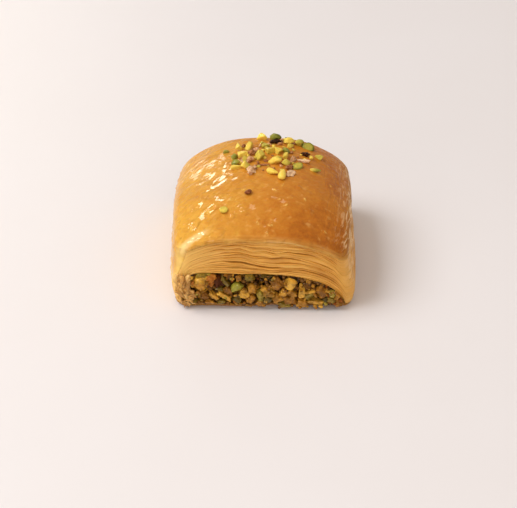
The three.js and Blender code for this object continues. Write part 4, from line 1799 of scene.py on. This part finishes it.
@dataclass(frozen=True)
class Strands:
    """Torn and crumpled ends of the folded sheets at the left of the front face.

    The lower ones, past the upright share of the strips, lie flatter and are shorter. The room is the
    least and the most of X, Y and Z that they may take.
    """

    strips: int = 60
    steps: int = 16
    seed: int = 911
    top: float = 11.4
    drop: float = 9.8
    starts: tuple[float, float] = (-26.4, -22.2)
    lengths: tuple[float, float] = (2.4, 4.8)
    widths: tuple[float, float] = (0.7, 1.9)
    upright: float = 0.45
    thickness: float = 0.1
    room: tuple[tuple[float, float], ...] = ((-28.3, -20.0), (-27.75, -22.0), (0.45, 12.8))
    finish: SheetFinish = SheetFinish("torn_filo", 0xF8CC80, 0xE8AC58, 0xC08038, 0x80501C, 0.0)

    def build(self, wardrobe: Wardrobe) -> bpy.types.Object:
        """Builds the strips, each a bent gutter.

        Args:
            wardrobe: The materials.

        Returns:
            The piece.
        """
        dice = random.Random(self.seed)
        bm = bmesh.new()
        tone, deep, level = (bm.verts.layers.float.new(name) for name in ("tone", "deep", "level"))
        for i in range(self.strips):
            share = (i + 0.5) / self.strips
            z = self.top - self.drop * share
            x = dice.uniform(*self.starts) + 0.6 * share
            length = dice.uniform(*self.lengths) * (1.0 if share < 0.6 else 0.75)
            width = dice.uniform(*self.widths)
            lean = dice.uniform(-0.15, 0.35) if share < self.upright else dice.uniform(0.5, 1.0)
            bend = dice.uniform(0.3, 1.0) * (1 if share < self.upright else dice.choice((-1, 0.4)))
            roll, shift, shade = dice.uniform(-0.6, 0.5), dice.uniform(0, 9), dice.uniform(-0.1, 0.9)
            y = -26.5 - 0.7 * dice.random() + 0.35 * max(0.0, -x - 24.5) ** 1.6
            turned = Matrix.Rotation(-lean, 3, "Y") @ Matrix.Rotation(roll, 3, "Z")
            for vert in bmesh.ops.create_grid(bm, x_segments=4, y_segments=self.steps, size=0.5)["verts"]:
                u, v = vert.co.x, vert.co.y
                twist = 0.9 * math.sin(4 * v + shift)
                wide, arch = u * width * (1 - 0.6 * (2 * abs(v)) ** 3), -0.2 * width * (1 - 4 * u * u)
                sway = bend * (4 * v * v - 0.4) + 0.2 * math.sin(9 * v + shift)
                x_in = wide * math.cos(twist) - arch * math.sin(twist) + sway
                y_in = wide * math.sin(twist) + arch * math.cos(twist) + 1.2 * v * v
                vert.co = Vector((x, y, z)) + turned @ Vector((x_in, y_in, v * length))
                vert[tone], vert[level] = shade, u * width + 3 * i
                # Painted shade towards each strip's curled edges; the darkest strips also take more of the gap
                # colour.
                vert[deep] = 0.35 * abs(2 * u) ** 2 + 0.3 * (shade > 0.7)
        bmesh.ops.recalc_face_normals(bm, faces=bm.faces)
        bmesh.ops.solidify(bm, geom=bm.faces, thickness=self.thickness)
        for vert in bm.verts:
            vert.co = [held(part, low, high) for part, (low, high) in zip(vert.co, self.room)]
        return stand(mesh_of(bm, "filo_strands"), wardrobe.of(self.finish), "pastry")


# ------------------------------------------------------------------------------ the studio


@dataclass(frozen=True)
class Studio:
    """The camera, the floor and the lights.

    A lamp is its name, where it hangs as seen from the piece, how far away in metres, its width in
    metres, its power in watts and its light. A pane only shows in glossy surfaces. It is where it
    hangs, its width and its power.
    """

    lens_pixels: float = 1450.0
    frame_pixels: float = 517.0
    sensor: float = 36.0
    eye: Triple = (-1.6, -365.6, 285.8)
    pitch: float = 38.0
    sky: float = 0.36
    floor_half: float = 2.5
    sky_light: int = 0xFFF4EA
    pane_light: int = 0xFFF5E0
    lamps: tuple[tuple[str, Triple, float, float, float, int], ...] = (
        ("key", (-0.78, 0.02, 0.98), 1.5, 0.9, 17.8, 0xFBFBFF),
        ("fill", (0.3, -0.8, 0.6), 1.2, 1.0, 2.8, 0xFFF4E8),
        ("side", (-0.7, -0.7, 0.3), 1.0, 0.5, 1.6, 0xFBFBFF),
        ("bounce", (0.9, -0.2, 0.3), 1.0, 0.8, 0.75, 0xFFF4E8),
        ("top", (0.0, 0.0, 1.0), 1.3, 1.5, 2.4, 0xFFF4E8),
    )
    panes: tuple[tuple[float, float, float, float, float], ...] = (
        (-0.4, 0.9, 0.12, 0.07, 0.16), (-0.36, 0.88, 0.3, 0.07, 0.24), (-0.26, 0.92, 0.28, 0.07, 0.14),
        (-0.2, 0.84, 0.5, 0.04, 0.11), (-0.26, 0.86, 0.43, 0.04, 0.12), (-0.37, 0.77, 0.53, 0.04, 0.14),
        (-0.15, 0.88, 0.44, 0.035, 0.09), (-0.31, 0.8, 0.5, 0.045, 0.17), (-0.3, 0.62, 0.7, 0.05, 0.18),
        (-0.48, 0.6, 0.63, 0.055, 0.22), (-0.4, 0.42, 0.8, 0.07, 0.4), (-0.08, 0.36, 0.92, 0.04, 0.035),
        (0.1, 0.52, 0.85, 0.04, 0.03), (0.02, 0.12, 1.0, 0.04, 0.03), (0.2, 0.6, 0.78, 0.04, 0.025),
        (-0.12, 0.36, 0.93, 0.04, 0.12), (-0.55, 0.32, 0.77, 0.08, 0.55), (-0.47, 0.1, 0.88, 0.075, 0.55),
        (-0.4, -0.08, 0.9, 0.05, 0.2), (-0.58, -0.1, 0.8, 0.1, 0.8), (-0.62, -0.34, 0.62, 0.2, 1.7),
        (-0.3, -0.72, 0.5, 0.14, 0.8),
    )

    def build(self) -> None:
        """Sets up the camera, the floor and the lights."""
        self._camera()
        self._floor()
        key, *others = self.lamps
        panes = [("pane", tuple(aim), 1.0, size, power, self.pane_light) for *aim, size, power in self.panes]
        for lamp in (key, *panes, *others):
            self._lamp(*lamp)
        world = bpy.data.worlds.new("studio")
        world.use_nodes = True
        background = world.node_tree.nodes["Background"].inputs
        background["Color"].default_value = paint(self.sky_light)
        background["Strength"].default_value = self.sky
        bpy.context.scene.world = world
        bpy.context.scene.view_settings.view_transform = "Standard"

    def _camera(self) -> None:
        """Stands the camera where the piece is seen from the front and above."""
        data = bpy.data.cameras.new("camera")
        data.sensor_fit = "HORIZONTAL"
        data.sensor_width = self.sensor
        data.lens = self.lens_pixels / self.frame_pixels * self.sensor
        data.clip_start = 0.01
        camera = placed("camera", data)
        camera.location = Vector(self.eye) * MM
        camera.rotation_euler = (math.radians(90 - self.pitch), 0.0, 0.0)
        bpy.context.scene.camera = camera

    def _floor(self) -> None:
        """Lays the plain pale floor."""
        bm = bmesh.new()
        bmesh.ops.create_grid(bm, x_segments=1, y_segments=1, size=self.floor_half)
        mesh = bpy.data.meshes.new("floor")
        bm.to_mesh(mesh)
        bm.free()
        bench = Bench("floor")
        colour = bench.mix(bench.clouds(60.0, 2.0), 0xE3DEDC, 0xE6E2E1)
        mesh.materials.append(bench.finish(colour, 0.45, {}))
        placed("floor", mesh)

    def _lamp(self, name: str, aim: Triple, reach: float, size: float, power: float, light: int) -> None:
        """Hangs one soft lamp.

        Args:
            name: Its name; a "pane" only shows in glossy surfaces, and any other only lights the piece.
            aim: Where it hangs, seen from the piece.
            reach: How far away, in metres.
            size: Its width, in metres.
            power: Its power, in watts.
            light: Its colour.
        """
        data = bpy.data.lights.new(name, "AREA")
        data.shape = "SQUARE"
        data.size = size
        data.energy = power
        data.color = paint(light)[:3]
        lamp = placed(name, data)
        direction = Vector(aim).normalized()
        lamp.location = direction * reach
        lamp.rotation_euler = direction.to_track_quat("Z", "Y").to_euler()
        lamp.visible_glossy = name == "pane"
        lamp.visible_diffuse = name != "pane"


def main() -> None:
    """Builds the studio and every piece, and reports each one."""
    logging.basicConfig(level=logging.INFO, format="%(name)s: %(message)s")
    Studio().build()
    form, wardrobe = PieceForm(), Wardrobe()
    pieces = [Crust(form).build(wardrobe), *SheetStack(form).build(wardrobe)]
    pieces += [BaseSheets(form).build(wardrobe), PastryCore(form).build(wardrobe), Strands().build(wardrobe)]
    pieces += Filling(form).build(wardrobe) + Toppings(form).build(wardrobe)
    for piece in pieces:
        piece.data.calc_loop_triangles()
        LOG.info("%s: %d triangles", piece.name, len(piece.data.loop_triangles))


if __name__ == "__main__":
    main()
